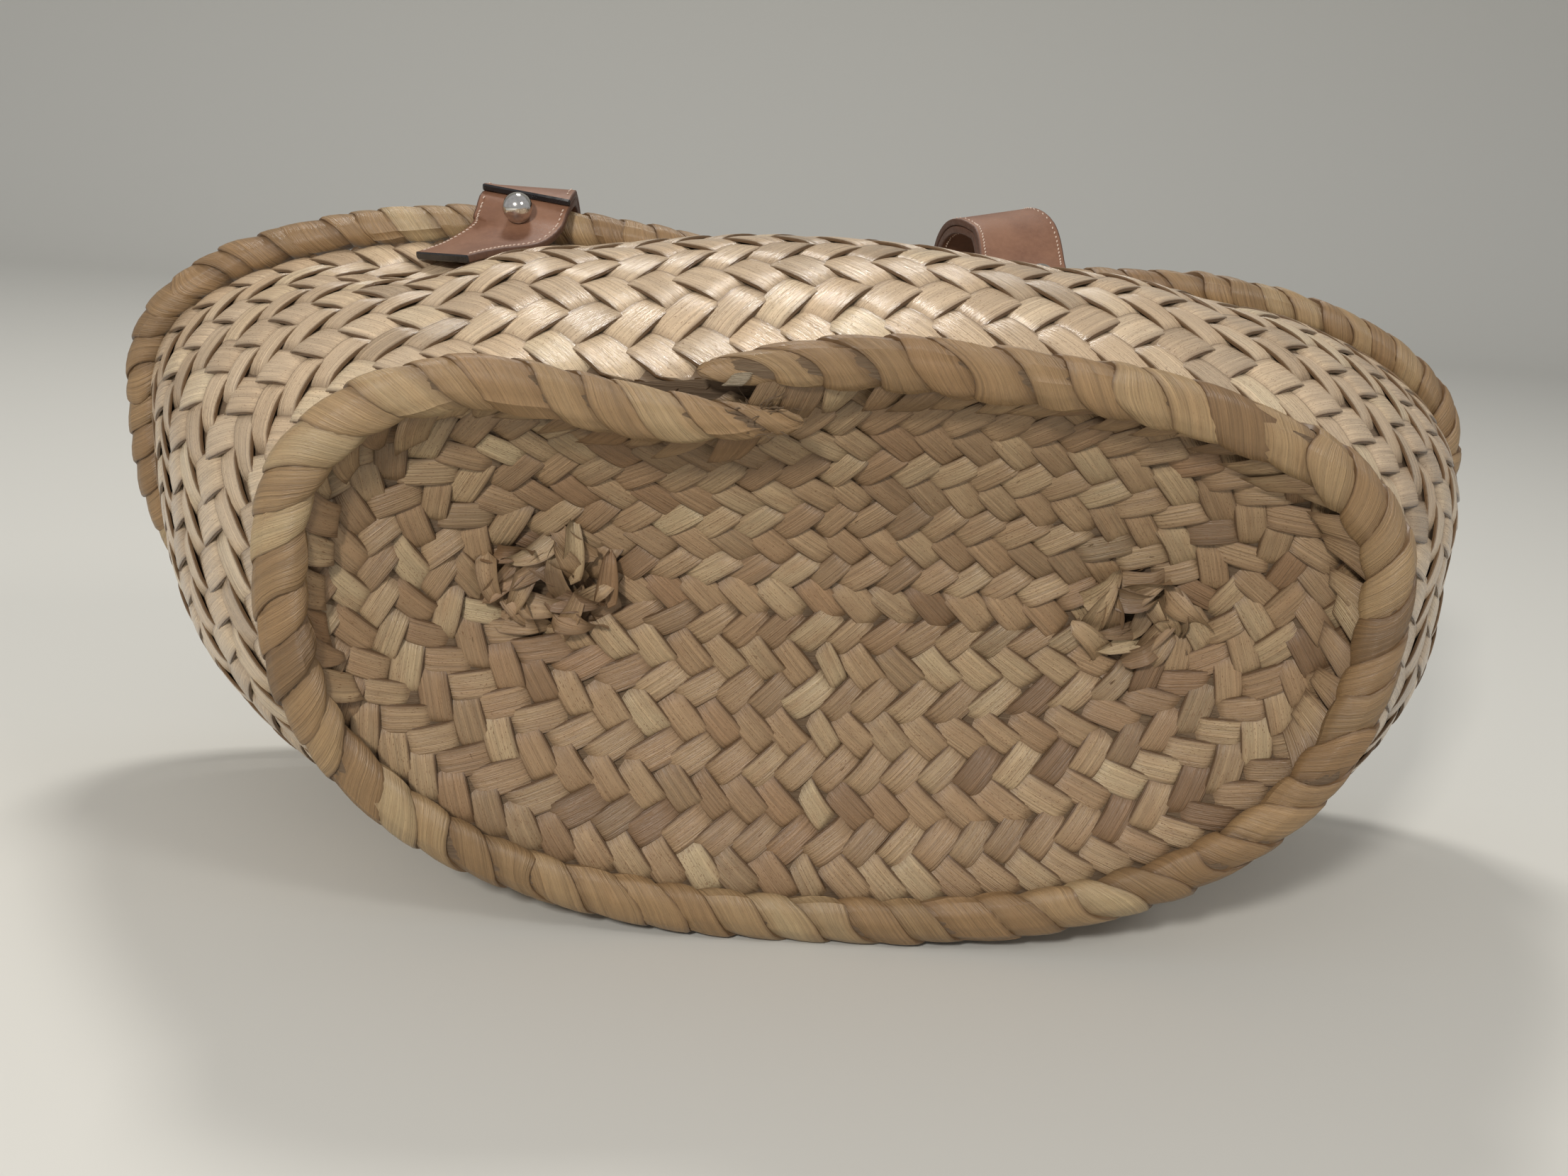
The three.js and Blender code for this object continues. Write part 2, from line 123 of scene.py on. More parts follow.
HOLLOWS = [
    {"angle": 75, "share": 0.84, "wide": 12, "long": 0.2, "depth": 1.3},
    {"angle": 118, "share": 0.8, "wide": 12.5, "long": 0.2, "depth": 1.2},
]


# %% Shape of the bag
def length_of(vectors):
    """Length of each vector, kept as a last axis."""
    return np.linalg.norm(vectors, axis=-1, keepdims=True)


def unit(vectors):
    """Vectors scaled to length 1."""
    return vectors / length_of(vectors)


def soft(share):
    """A share from 0 to 1 with a soft start and end."""
    return share * share * (3 - 2 * share)


def circle(count):
    """Angles of a full circle in even steps."""
    return np.linspace(0, 2 * np.pi, count, endpoint=False)


def run_along(line):
    """Length walked along a line of points, 0 at the first."""
    return np.concatenate([[0], np.cumsum(np.linalg.norm(np.diff(line, axis=0), axis=1))])


def read_off(wanted, run, table):
    """Each column of a table read off at the wanted places along its run."""
    return np.stack([np.interp(wanted, run, column) for column in table.T], -1)


def bump(x, middle, width):
    """A smooth hill, 1 at its middle, that fades over its width."""
    return np.exp(-(((x - middle) / width) ** 2))


def oval(angle, half, up, low, power_up, power_low):
    """Rounded oval: cosine and sine, each raised to a power, with its own rise above and below."""
    c = np.cos(angle)
    s = np.sin(angle)
    power = 2 / np.where(s > 0, power_up, power_low)
    rise = np.where(s > 0, up, low)
    return half * np.sign(c) * np.abs(c) ** power, rise * np.sign(s) * np.abs(s) ** power


def outline(sizes, angle, inside=0.0):
    """The oval with its sag, moved inwards along its own normal."""
    def line(a):
        x, t = oval(a, sizes["half"], sizes["up"], sizes["low"], sizes["power_up"], sizes["power_low"])
        x = x + sizes["middle"]
        sag = sizes["sag"] * bump(x, sizes["sag_at"], sizes["sag_width"]) * np.maximum(np.sin(a), 0)
        return x, t - sag + sizes["height"]

    step = 1e-3
    x, t = line(angle)
    x1, t1 = line(angle + step)
    x0, t0 = line(angle - step)
    length = np.hypot(x1 - x0, t1 - t0)
    return x - inside * (t1 - t0) / length, t + inside * (x1 - x0) / length


def on_base(x, t, out):
    """Plane of the base to space: x across, t up the leaning plane, out towards the viewer."""
    s = math.sin(BASE_LEAN)
    c = math.cos(BASE_LEAN)
    return np.stack([x + 0 * t, -t * s - out * c, t * c - out * s], -1)


def on_rim(x, t, along):
    """Plane of the mouth to space: x across, t up the leaning plane, along beyond the mouth."""
    s = math.sin(RIM_LEAN)
    c = math.cos(RIM_LEAN)
    return np.stack([x + 0 * t, RIM_Y - t * s + along * c, RIM_Z + t * c + along * s], -1)


def swell(degrees):
    """How far the wall swells at an angle: smooth steps between the rows of the table."""
    row = np.clip(np.searchsorted(SWELL_ANGLES, degrees, side="left"), 1, len(SWELL_ANGLES) - 1)
    angles = np.array(SWELL_ANGLES, float)
    outs = np.array(SWELL_OUT, float) * SWELL_MOST
    share = np.clip((degrees - angles[row - 1]) / (angles[row] - angles[row - 1]), 0, 1)
    return outs[row - 1] + (outs[row] - outs[row - 1]) * soft(share)


def wall_point(angle, share, off=0.0):
    """Point of the side wall: straight from the base coil to the rim coil, pushed out by the swell."""
    degrees = np.degrees(angle) % 360
    low = on_base(*outline(BASE_OVAL, angle, CORNER_INSET - off), -BASE_COIL_DEEP - GAP)
    high = on_rim(*outline(RIM_OVAL, angle, MOUTH_INSET - off), -MOUTH_SHORT)
    out = swell(degrees) * np.sin(np.pi * np.clip(share, 0, 1)) ** 0.9
    for row in HOLLOWS:
        hill = bump(degrees, row["angle"], row["wide"]) * bump(share, row["share"], row["long"])
        out = out - HOLLOW_DEEPEST * row["depth"] * hill * (1 - np.clip(share, 0, 1) ** 12)
    outward = np.stack([np.cos(angle), 0 * angle, np.sin(angle)], -1)
    return low + (high - low) * share[..., None] + outward * out[..., None]


def to_frame(points):
    """Millimetres of the shape functions to metres of the row frame."""
    return (points + ORIGIN) * MM


top = to_frame(wall_point(np.array([math.pi / 2]), np.array([0.5])))[0]
print("top of the upper panel in metres:", top.round(4))

# %% [markdown]
# A finished piece is one mesh. This helper takes points and faces as whole
# arrays, stores values that the materials read on the points, and lets the
# piece ride on the only body.
# %% Mesh helper
SHARP_ABOVE = math.radians(38)


def add_piece(name, points, faces, materials, values=None, face_slots=None):
    """A smooth mesh from arrays: points in millimetres, and arrays of faces with equal corner counts."""
    points = points.reshape(-1, 3)
    mesh = bpy.data.meshes.new(name)
    mesh.vertices.add(len(points))
    mesh.vertices.foreach_set("co", to_frame(points).astype(np.float32).ravel())
    corners = np.concatenate([f.ravel() for f in faces]).astype(np.int32)
    sizes = np.concatenate([np.full(len(f), f.shape[1]) for f in faces])
    mesh.loops.add(len(corners))
    mesh.loops.foreach_set("vertex_index", corners)
    mesh.polygons.add(len(sizes))
    starts = np.concatenate([[0], np.cumsum(sizes)[:-1]]).astype(np.int32)
    mesh.polygons.foreach_set("loop_start", starts)
    if face_slots is not None:
        mesh.polygons.foreach_set("material_index", np.asarray(face_slots, np.int32))
    mesh.update(calc_edges=True)
    mesh.shade_smooth()
    mesh.set_sharp_from_angle(angle=SHARP_ABOVE)
    for key, value in (values or {}).items():
        layer = mesh.attributes.new(key, "FLOAT_VECTOR", "POINT")
        layer.data.foreach_set("vector", value.astype(np.float32).ravel())
    for material in materials:
        mesh.materials.append(material)
    piece = add_object(name, mesh)
    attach(piece, "root")
    print(name, "has", int((sizes - 2).sum()), "triangles")
    return piece


def grid_faces(rows, columns, closed=False):
    """Quads of a grid of points; a closed grid joins its last column to its first."""
    i, j = np.meshgrid(np.arange(rows - 1), np.arange(columns if closed else columns - 1), indexing="ij")
    k = (j + 1) % columns
    quads = [i * columns + j, (i + 1) * columns + j, (i + 1) * columns + k, i * columns + k]
    return np.stack(quads, -1).reshape(-1, 4)


def repeat_faces(faces, count, size):
    """The same faces for each of many patches that have size points each."""
    return (faces[None] + size * np.arange(count)[:, None, None]).reshape(-1, faces.shape[1])


def patch_faces(count, along, across):
    """Faces of many equal patches, each a grid over the same two lists of places."""
    return repeat_faces(grid_faces(len(along), len(across)), count, len(along) * len(across))


def end_caps(rings, sides):
    """The two faces that close a tube: its first ring turned round, and its last ring."""
    ring = np.arange(sides)
    return np.stack([ring[::-1], (rings - 1) * sides + ring])


def under_values(points):
    """Values of a plain piece of shaded straw, from the place of its points."""
    return {"strip": points * 0.3, "painted_shade": np.zeros_like(points)}


def packed(a, b, c):
    """Three values for every point, as one array of vectors."""
    return np.stack(np.broadcast_arrays(a, b, c), -1)


# %% [markdown]
# Straw is the main finish. A dried palm leaf has long fibres, paler and
# warmer bands, brown specks and a slight gloss. One node group makes these
# from two values stored on each strip: its own length, width and number, and
# how close a point is to the strip's edge and end. The second value paints
# shade that darkens each strip towards its edges and ends.
# %% Node helpers
def feed(tree, made, values):
    """Inputs of a node by name or number: a socket is linked, and a plain value is set."""
    for key, value in values.items():
        if isinstance(value, bpy.types.NodeSocket):
            tree.links.new(value, made.inputs[key])
        else:
            made.inputs[key].default_value = value


def node(tree, kind, **settings):
    """A new node with its settings and inputs given by name, where i0 is the first input."""
    made = tree.nodes.new(kind)
    for key, value in settings.items():
        if hasattr(made, key):
            setattr(made, key, value)
        else:
            feed(tree, made, {int(key[1:]) if key[1:].isdigit() else key: value})
    return made


def new_material(name):
    """A material with nodes, its node tree and its shader."""
    material = bpy.data.materials.new(name)
    material.use_nodes = True
    return material, material.node_tree, material.node_tree.nodes["Principled BSDF"]


def add_relief(tree, shader, height, strength, distance):
    """Relief from a height value, linked to the shader's normal."""
    relief = node(tree, "ShaderNodeBump", Strength=strength, Distance=distance, Height=height)
    feed(tree, shader, {"Normal": relief.outputs[0]})


def maths(tree, operation, a, b=0.0):
    """One Math node on two values or sockets."""
    return node(tree, "ShaderNodeMath", operation=operation, i0=a, i1=b).outputs[0]


def spread(tree, value, low, high, to_low=0.0, to_high=1.0):
    """A value between low and high stretched to a new range and kept inside it."""
    made = node(tree, "ShaderNodeMapRange", i0=value, i1=low, i2=high, i3=to_low, i4=to_high)
    return made.outputs[0]


def blend(tree, share, a, b, how="MIX"):
    """Two colours mixed by a share."""
    made = node(tree, "ShaderNodeMix", data_type="RGBA", blend_type=how, i0=share, i6=a, i7=b)
    return made.outputs[2]


def stretched(tree, parts, scales, extra=0.0):
    """Along, across and number of a strip, each times its own scale, as a place to read noise at."""
    scaled = [maths(tree, "MULTIPLY", part, scale) for part, scale in zip(parts, scales)]
    scaled[2] = maths(tree, "ADD", scaled[2], extra)
    return node(tree, "ShaderNodeCombineXYZ", i0=scaled[0], i1=scaled[1], i2=scaled[2]).outputs[0]


def noise(tree, place, detail=2.0, rough=0.5, scale=1.0):
    """Noise between 0 and 1 at a place."""
    made = node(tree, "ShaderNodeTexNoise", Vector=place, Scale=scale, Detail=detail, Roughness=rough)
    return made.outputs[0]


# %% Straw fibre group
GREY_LEAF = (0.33, 0.3, 0.19, 1)
SPECK = (0.16, 0.08, 0.035, 1)
# Colours of painted shade: along each strip's edges, and at its ends where it dives under its neighbours.
PAINTED_EDGE_SHADE = (0.1, 0.055, 0.025, 1)
PAINTED_END_SHADE = (0.12, 0.07, 0.035, 1)
STRAW_RELIEF = 0.00045
GROUP_INPUTS = {"Strip": "Vector", "Painted_shade": "Vector", "Pale": "Color", "Warm": "Color",
                "Specks": "Float", "Shine": "Float"}
GROUP_OUTPUTS = {"Color": "Color", "Height": "Float", "Roughness": "Float"}


def straw_group():
    """Colour with painted edge and end shade, relief and roughness of a leaf strip from its own
    coordinates.
    """
    tree = bpy.data.node_groups.new("straw fibre", "ShaderNodeTree")
    for way, sockets in (("INPUT", GROUP_INPUTS), ("OUTPUT", GROUP_OUTPUTS)):
        for name, kind in sockets.items():
            tree.interface.new_socket(name, in_out=way, socket_type="NodeSocket" + kind)
    given = tree.nodes.new("NodeGroupInput")
    strip = node(tree, "ShaderNodeSeparateXYZ", i0=given.outputs["Strip"]).outputs
    painted_shade = node(tree, "ShaderNodeSeparateXYZ", i0=given.outputs["Painted_shade"]).outputs
    fibre = noise(tree, stretched(tree, strip, (0.05, 3.4, 40)), 3, 0.6)
    ribs = noise(tree, stretched(tree, strip, (0.015, 1.1, 40), 5), 1)
    cloud = noise(tree, stretched(tree, strip, (0.09, 0.22, 40), 11), 2)
    tint = noise(tree, stretched(tree, strip, (0.0, 0.0, 91), 3), 0)
    grey = noise(tree, stretched(tree, strip, (0.0, 0.0, 57), 8), 0)
    speck = noise(tree, stretched(tree, strip, (1.3, 3.6, 40), 21), 1, 0.4)
    base = blend(tree, spread(tree, tint, 0.35, 0.65), given.outputs["Pale"], given.outputs["Warm"])
    base = blend(tree, spread(tree, grey, 0.52, 0.68, 0, 0.35), base, GREY_LEAF)
    base = blend(tree, spread(tree, cloud, 0.42, 0.75, 0, 0.5), base, given.outputs["Warm"])
    streaks = maths(tree, "ADD", fibre, maths(tree, "MULTIPLY", ribs, 0.6))
    light = spread(tree, streaks, 0.58, 1.04, 0.74, 1.16)
    light = maths(tree, "MULTIPLY", light, spread(tree, grey, 0.3, 0.7, 0.7, 1.22))
    shade = node(tree, "ShaderNodeCombineColor", i0=light, i1=light, i2=light).outputs[0]
    base = blend(tree, 1.0, base, shade, "MULTIPLY")
    dots = maths(tree, "MULTIPLY", spread(tree, speck, 0.65, 0.71), given.outputs["Specks"])
    base = blend(tree, dots, base, SPECK)
    # Painted shade: the strip darkens along its edges and towards its ends, where it meets and dives under
    # its neighbours.
    rim = maths(tree, "POWER", painted_shade[0], 9.0)
    base = blend(tree, maths(tree, "MULTIPLY", rim, 0.85), base, PAINTED_EDGE_SHADE)
    end_shade = spread(tree, painted_shade[1], 0.55, 0.9, 0, 0.75)
    base = blend(tree, end_shade, base, PAINTED_END_SHADE)
    rough = maths(tree, "ADD", given.outputs["Shine"], maths(tree, "MULTIPLY", fibre, 0.3))
    height = maths(tree, "ADD", fibre, maths(tree, "MULTIPLY", ribs, 0.9))
    result = tree.nodes.new("NodeGroupOutput")
    feed(tree, result, {"Color": base, "Height": height, "Roughness": rough})
    return tree


STRAW_GROUP = straw_group()


def straw_material(name, pale, warm, specks, shine):
    """A leaf finish: the straw group feeds the shader's colour, roughness and relief."""
    material, tree, shader = new_material(name)
    group = tree.nodes.new("ShaderNodeGroup")
    group.node_tree = STRAW_GROUP
    feed(tree, group, {"Pale": (*pale, 1), "Warm": (*warm, 1), "Specks": specks, "Shine": shine})
    for key in ("Strip", "Painted_shade"):
        value = node(tree, "ShaderNodeAttribute", attribute_name=key.lower())
        feed(tree, group, {key: value.outputs["Vector"]})
    feed(tree, shader, {"Base Color": group.outputs["Color"], "Roughness": group.outputs["Roughness"]})
    add_relief(tree, shader, group.outputs["Height"], 0.8, STRAW_RELIEF)
    return material


LEAF = straw_material("palm leaf", (0.6, 0.462, 0.315), (0.57, 0.42, 0.27), 0.6, 0.04)
# The base is the wall's leaf, a little browner; the rest of its darkness is painted shade, as the base
# faces away from the light.
BASE_LEAF = straw_material("palm leaf of the base", (0.375, 0.262, 0.147), (0.262, 0.156, 0.08), 0.9, 0.26)
# The coils are bound with the wall's leaf; their darker colour is mostly painted shade for their shaded
# lower sides.
COIL_LEAF = straw_material("bound leaf", (0.32, 0.208, 0.102), (0.25, 0.148, 0.067), 0.35, 0.26)
# Dark leaf for the hidden shell and coil cores, and for the torn threads; on the shell and cores its
# darkness is painted shade in the gaps of the weave and wraps.
UNDER_LEAF = straw_material("shaded leaf", (0.2, 0.13, 0.07), (0.15, 0.09, 0.05), 0.3, 0.5)
PALE_FIBRE = straw_material("pale core fibre", (0.42, 0.36, 0.27), (0.33, 0.25, 0.16), 0.1, 0.2)
print("straw finishes:", [m.name for m in (LEAF, BASE_LEAF, COIL_LEAF, UNDER_LEAF, PALE_FIBRE)])

# %% [markdown]
# Both the wall and the base are covered by rings that run round the bag.
# Each ring starts at the top, and both of its halves are divided evenly, so
# a place on the surface is a share of the turn and a row number.
# %% Rings round the bag
HALF = 360
WALK_STEPS = 1500
PER_ROW = 4
WALL_ROWS = 9
BASE_ROWS = 8
FIRST_LAP = 10.4


def even_rings(point, rows):
    """Rings of even points: each half is walked finely from the top and its length read off evenly."""
    walk = np.linspace(0, np.pi, WALK_STEPS)
    rings = []
    for row in rows:
        halves = []
        for way in (-1, 1):
            line = point(np.pi / 2 + way * walk, np.full(walk.shape, float(row)))
            run = run_along(line)
            halves.append(read_off(np.linspace(0, run[-1], HALF + 1), run, line))
        rings.append(np.concatenate([halves[0][:-1], halves[1][:0:-1]]))
    return np.array(rings)


def base_line(angle, row):
    """Lap of the base in its own plane: a line under the coil, drawn in towards that between the eyes."""
    share = (row / BASE_ROWS)[..., None]
    outer = np.stack(outline(BASE_OVAL, angle, FIRST_LAP), -1)
    x, t = oval(angle, EYE_HALF, EYE_RISE, EYE_RISE, BASE_OVAL["power_up"], BASE_OVAL["power_low"])
    return outer * (1 - share) + np.stack([x + EYE_X, t + EYE_HEIGHT], -1) * share


def base_depth(row):
    """How deep the base is pressed in at a row: a quarter sine from the coil to the middle."""
    return BASE_COIL_DEEP + GAP + DENT * np.sin(np.pi / 2 * np.clip(row / BASE_ROWS, 0, 1))


def wall_line(angle, row):
    """Ring of the wall at a row."""
    return wall_point(angle, row / WALL_ROWS)


def row_numbers(rows):
    """Numbers of the rings of so many rows, with several rings to a row."""
    return np.arange(rows * PER_ROW + 1) / PER_ROW


WALL_RINGS = even_rings(wall_line, row_numbers(WALL_ROWS))
BASE_RINGS = even_rings(base_line, row_numbers(BASE_ROWS))


def read_rings(rings, turn, row):
    """Value of a table of rings at a share of the turn and a row, linear between its nearest four."""
    count, around = rings.shape[:2]
    i = turn * around
    j = np.clip(row * PER_ROW, 0, count - 1.001)
    left = np.floor(i).astype(int)
    low = np.floor(j).astype(int)
    u = (i - left)[..., None]
    v = (j - low)[..., None]
    near = rings[low, left % around] * (1 - u) + rings[low, (left + 1) % around] * u
    far = rings[low + 1, left % around] * (1 - u) + rings[low + 1, (left + 1) % around] * u
    return near * (1 - v) + far * v


def ring_normals(rings):
    """Unit normals of a table of rings, along the ring times across the rows, pointing out of the bag."""
    along = np.roll(rings, -2, axis=1) - np.roll(rings, 2, axis=1)
    return unit(np.cross(along, np.gradient(rings, axis=0)))


WALL_NORMALS = ring_normals(WALL_RINGS)
lengths = np.linalg.norm(WALL_RINGS - np.roll(WALL_RINGS, 1, axis=1), axis=-1).sum(1)
print("length round the wall at the base and at the mouth in mm:", lengths[[0, -1]].round(0))

# %% [markdown]
# In a herringbone the strips of each row lean one way and those of the next
# row lean back, half a strip further on. A longer row needs more strips. So
# the strips are counted from the top of each row, the count is kept in step
# with the row before it, and a new strip slips in where the rows drift apart.
# %% Count the strips
WALL_PITCH = 12.6
BASE_PITCH = 10.2
SLIP = 0.7
SMOOTHED = 25
STRIP_REACH = 0.49
TURN_STEP = 0.002


def halves(ring):
    """The two halves of a ring, each from the top to the bottom."""
    return ring[: HALF + 1], np.concatenate([ring[:1], ring[: HALF - 1: -1]])


def smooth_count(value):
    """A value rounded to whole numbers with soft steps."""
    whole = np.floor(value)
    share = np.clip((value - whole - 0.5) / SLIP + 0.5, 0, 1)
    return whole + soft(share)


def count_strips(rings, pitch):
    """For each row and each half, how many strips have passed at each point of the ring."""
    counts = []
    for k, ring in enumerate(rings):
        both = []
        for side, line in enumerate(halves(ring)):
            even = np.linspace(0, round(run_along(line)[-1] / pitch), HALF + 1)
            if k:
                before = halves(rings[k - 1])[side]
                near = np.linalg.norm(line[:, None] - before[None], axis=-1).argmin(1)
                carried = counts[-1][side][near]
                even = carried + smooth_count(even - carried)
                padded = np.pad(even, SMOOTHED // 2, mode="reflect", reflect_type="odd")
                even = np.convolve(padded, np.full(SMOOTHED, 1 / SMOOTHED), mode="valid")
            both.append(np.maximum.accumulate(even + 1e-6 * np.arange(HALF + 1)))
        counts.append(both)
    return counts


def strip_turns(counts):
    """Each strip's middle: share of the turn, its row, and the turn half a strip before and after."""
    turns, rows, before, after = [], [], [], []
    share = np.linspace(0, 0.5, HALF + 1)
    for k, (right, left) in enumerate(counts):
        def place(at):
            return np.where(at >= 0, np.interp(at, right, share), -np.interp(-at, left, share))

        at = np.arange(-round(left[-1]), round(right[-1])) + (0.5 if k % 2 else 0.0)
        turns.append(place(at))
        rows.append(np.full(at.shape, k + 0.5))
        before.append(place(at - STRIP_REACH))
        after.append(place(at + STRIP_REACH))
    return [np.concatenate(part) for part in (turns, rows, before, after)]


WALL_COUNTS = count_strips(WALL_RINGS[PER_ROW // 2:: PER_ROW][:WALL_ROWS], WALL_PITCH)
BASE_COUNTS = count_strips(BASE_RINGS[PER_ROW // 2:: PER_ROW][:BASE_ROWS], BASE_PITCH)
print("strips in the wall's rows:", [int(round(r[-1] + s[-1])) for r, s in WALL_COUNTS])
print("strips in the base's laps:", [int(round(r[-1] + s[-1])) for r, s in BASE_COUNTS])

# %% [markdown]
# One strip is a flat leaf, folded double, twice as long as it is wide. It
# arches up in its middle and dives under its neighbours at both ends. Its
# lower edge stands a little proud and shows the second layer. Small random
# turns, tilts and widths keep the weave from looking stamped.
# %% Shape of a strip
RIBBON_END = 1.36
RIBBON_HALF = [0.3, 0.6, 0.82, 0.96, 1.08, 1.2, RIBBON_END]
RIBBON_ALONG = np.array([-v for v in reversed(RIBBON_HALF)] + [0] + RIBBON_HALF)
RIBBON_ACROSS = np.array([-1.05, -1.05, -1.0, -1.0, -0.96, -0.5, 0, 0.5, 0.96, 1.0, 1.0])
RIBBON_EDGE = np.array([-0.8, -0.4, -0.37, -0.05, 0, 0, 0, 0, 0, -0.05, -0.4])
RIBBON_CROWN = 0.2
APART_ALONG = 60
APART_ACROSS = 23
WALL_STRIP = {"pitch": WALL_PITCH, "crest": 1.15, "flat": 2.1, "tilt": 0.34, "wide": 1.17}
BASE_STRIP = {"pitch": BASE_PITCH, "crest": 1.1, "flat": 2.2, "tilt": 0.38, "wide": 1.15}


def ribbons(rows, chance, kind, lean=1.0, wild=0.0):
    """Woven strips in units of rows and strips: offsets x and y, height in mm, and the finish's values.

    The height along a strip is crest * cos(pi / 2 * a ** flat), which stays level in the middle and drops
    at the ends; across it, it falls by crown * b ** 2 and tilts so that the lower edge is raised, and
    twist * a * b turns its two ends against each other.
    """
    count = len(rows)

    def draw(calm, wilder):
        """One chance value per strip, which spreads wider where the weave is wild."""
        return chance.normal(0, calm + wilder * wild, count)[:, None, None]

    slant = np.radians(45 + draw(1.8, 9))
    turn = slant * np.where((rows % 2) < 1, -1, 1)[:, None, None] * lean
    wide = kind["wide"] + draw(0.03, 0.05)
    waist = chance.uniform(0.0, 0.05, count)[:, None, None]
    tilt = kind["tilt"] + draw(0.1, 0.35)
    lift = draw(0.06, 0.35)
    shift_x = draw(0.018, 0.05)
    shift_y = draw(0.018, 0.05)
    bend = draw(0.03, 0.04)
    twist = draw(0.12, 0.4)
    number = chance.uniform(0, 1, count)[:, None, None]
    a = RIBBON_ALONG[None, :, None] * (1 + 0 * number)
    b = RIBBON_ACROSS[None, None, :]
    half = 0.5 * wide * (1.0 - waist * (a * a - 0.4))
    u = a * math.sqrt(0.5)
    v = (b * half + bend * (a * a - 0.5)) * math.sqrt(0.5)
    c = np.cos(turn)
    s = np.sin(turn)
    x = u * c - v * s + shift_x
    y = u * s + v * c + shift_y
    arch = np.maximum(np.cos(np.pi / 2 * np.abs(a) ** kind["flat"]), -0.6)
    height = kind["crest"] * arch - RIBBON_CROWN * b * b - tilt * b + twist * a * b
    height = height + lift * np.cos(np.pi / 4 * a) + RIBBON_EDGE
    along = u * kind["pitch"] + APART_ALONG * number
    across = v * kind["pitch"] + APART_ACROSS * number
    strip = packed(along, across, number)
    # How close each point is to the strip's edge and end, for the painted shade there.
    painted_shade = packed(np.abs(b), np.abs(a) / RIBBON_END, number)
    return x, y, height, {"strip": strip, "painted_shade": painted_shade}


def ribbon_faces(count, inward=False):
    """Faces of all the ribbons, turned round for a surface that faces into the bag."""
    faces = patch_faces(count, RIBBON_ALONG, RIBBON_ACROSS)
    return faces[:, ::-1] if inward else faces


# %% Weave of the wall
LEVEL = -0.85


def difference(rings, turn_from, turn_to, row_from, row_to):
    """Way from one place of a table of rings to another."""
    return read_rings(rings, turn_to, row_to) - read_rings(rings, turn_from, row_from)


def wall_weave(name, inward, seed):
    """The wall's strips: a ribbon's offsets become a share of the turn and a row, and are read off."""
    chance = np.random.default_rng(seed)
    turn, row, before, after = strip_turns(WALL_COUNTS)
    by_turn = difference(WALL_RINGS, turn - TURN_STEP, turn + TURN_STEP, row, row) / (2 * TURN_STEP)
    by_row = difference(WALL_RINGS, turn, turn, row - 0.5, row + 0.5)
    first = unit(by_turn)
    second = by_row - first * (by_row * first).sum(-1, keepdims=True)
    tall = length_of(second)[:, 0]
    wide = length_of(difference(WALL_RINGS, before, after, row, row))[:, 0] / (2 * STRIP_REACH)
    x, y, height, values = ribbons(row, chance, WALL_STRIP, -1.0 if inward else 1.0)
    x = x * wide[:, None, None]
    y = y * tall[:, None, None]
    up = y / tall[:, None, None]
    slant = (by_row * first).sum(-1)[:, None, None]
    round_by = (x - slant * up) / length_of(by_turn)[:, 0][:, None, None]
    turns = turn[:, None, None] + round_by
    rows = np.clip(row[:, None, None] + up, 0, WALL_ROWS)
    normal = read_rings(WALL_NORMALS, turns, rows)
    level = -WALL - LEVEL - height if inward else LEVEL + height
    points = read_rings(WALL_RINGS, turns, rows) + normal * level[..., None]
    return add_piece(name, points, [ribbon_faces(len(row), inward)], [LEAF], values)


wall_weave("wall_weave", False, 11)
wall_weave("wall_lining_weave", True, 12)

# %% [markdown]
# The base is nearly flat, so its ribbons are laid out in the plane of the
# base and only sunk by its dent. Eight laps run round the line between the
# two eyes, and one straight row fills the middle.
# %% Weave of the base
EYES = [(-74, 93), (83, 94)]
PIT_DEPTH = 6
PIT_RADIUS = 9
PIT_SHADE = 1.35
WILD_REACH = 38
WIDE_LIMITS = (6.5, 13)
TALL_LIMITS = (7.5, 11)
MIDDLE_STRIPS = 7


def base_places():
    """Middle, direction, sizes and row of every strip of the base, the straight middle row included."""
    turn, row, before, after = strip_turns(BASE_COUNTS)
    here = read_rings(BASE_RINGS, turn, row)
    first = unit(difference(BASE_RINGS, turn - TURN_STEP, turn + TURN_STEP, row, row))
    second = np.stack([-first[:, 1], first[:, 0]], -1)
    by_row = difference(BASE_RINGS, turn, turn, row - 0.5, row + 0.5)
    tall = np.abs((by_row * second).sum(-1))
    wide = length_of(difference(BASE_RINGS, before, after, row, row))[:, 0] / (2 * STRIP_REACH)
    middle = np.arange(-MIDDLE_STRIPS, MIDDLE_STRIPS + 1) + 0.5
    middle_x = EYE_X + middle * BASE_PITCH
    line = np.stack([middle_x, np.full(middle.shape, float(EYE_HEIGHT))], -1)
    here = np.concatenate([here, line])
    first = np.concatenate([first, np.tile([1.0, 0.0], (len(middle), 1))])
    second = np.concatenate([second, np.tile([0.0, 1.0], (len(middle), 1))])
    tall = np.concatenate([tall, np.full(len(middle), 2 * EYE_RISE)])
    wide = np.concatenate([wide, np.full(len(middle), BASE_PITCH)])
    row = np.concatenate([row, np.full(len(middle), BASE_ROWS + 0.5)])
    return here, first, second, tall, wide, row


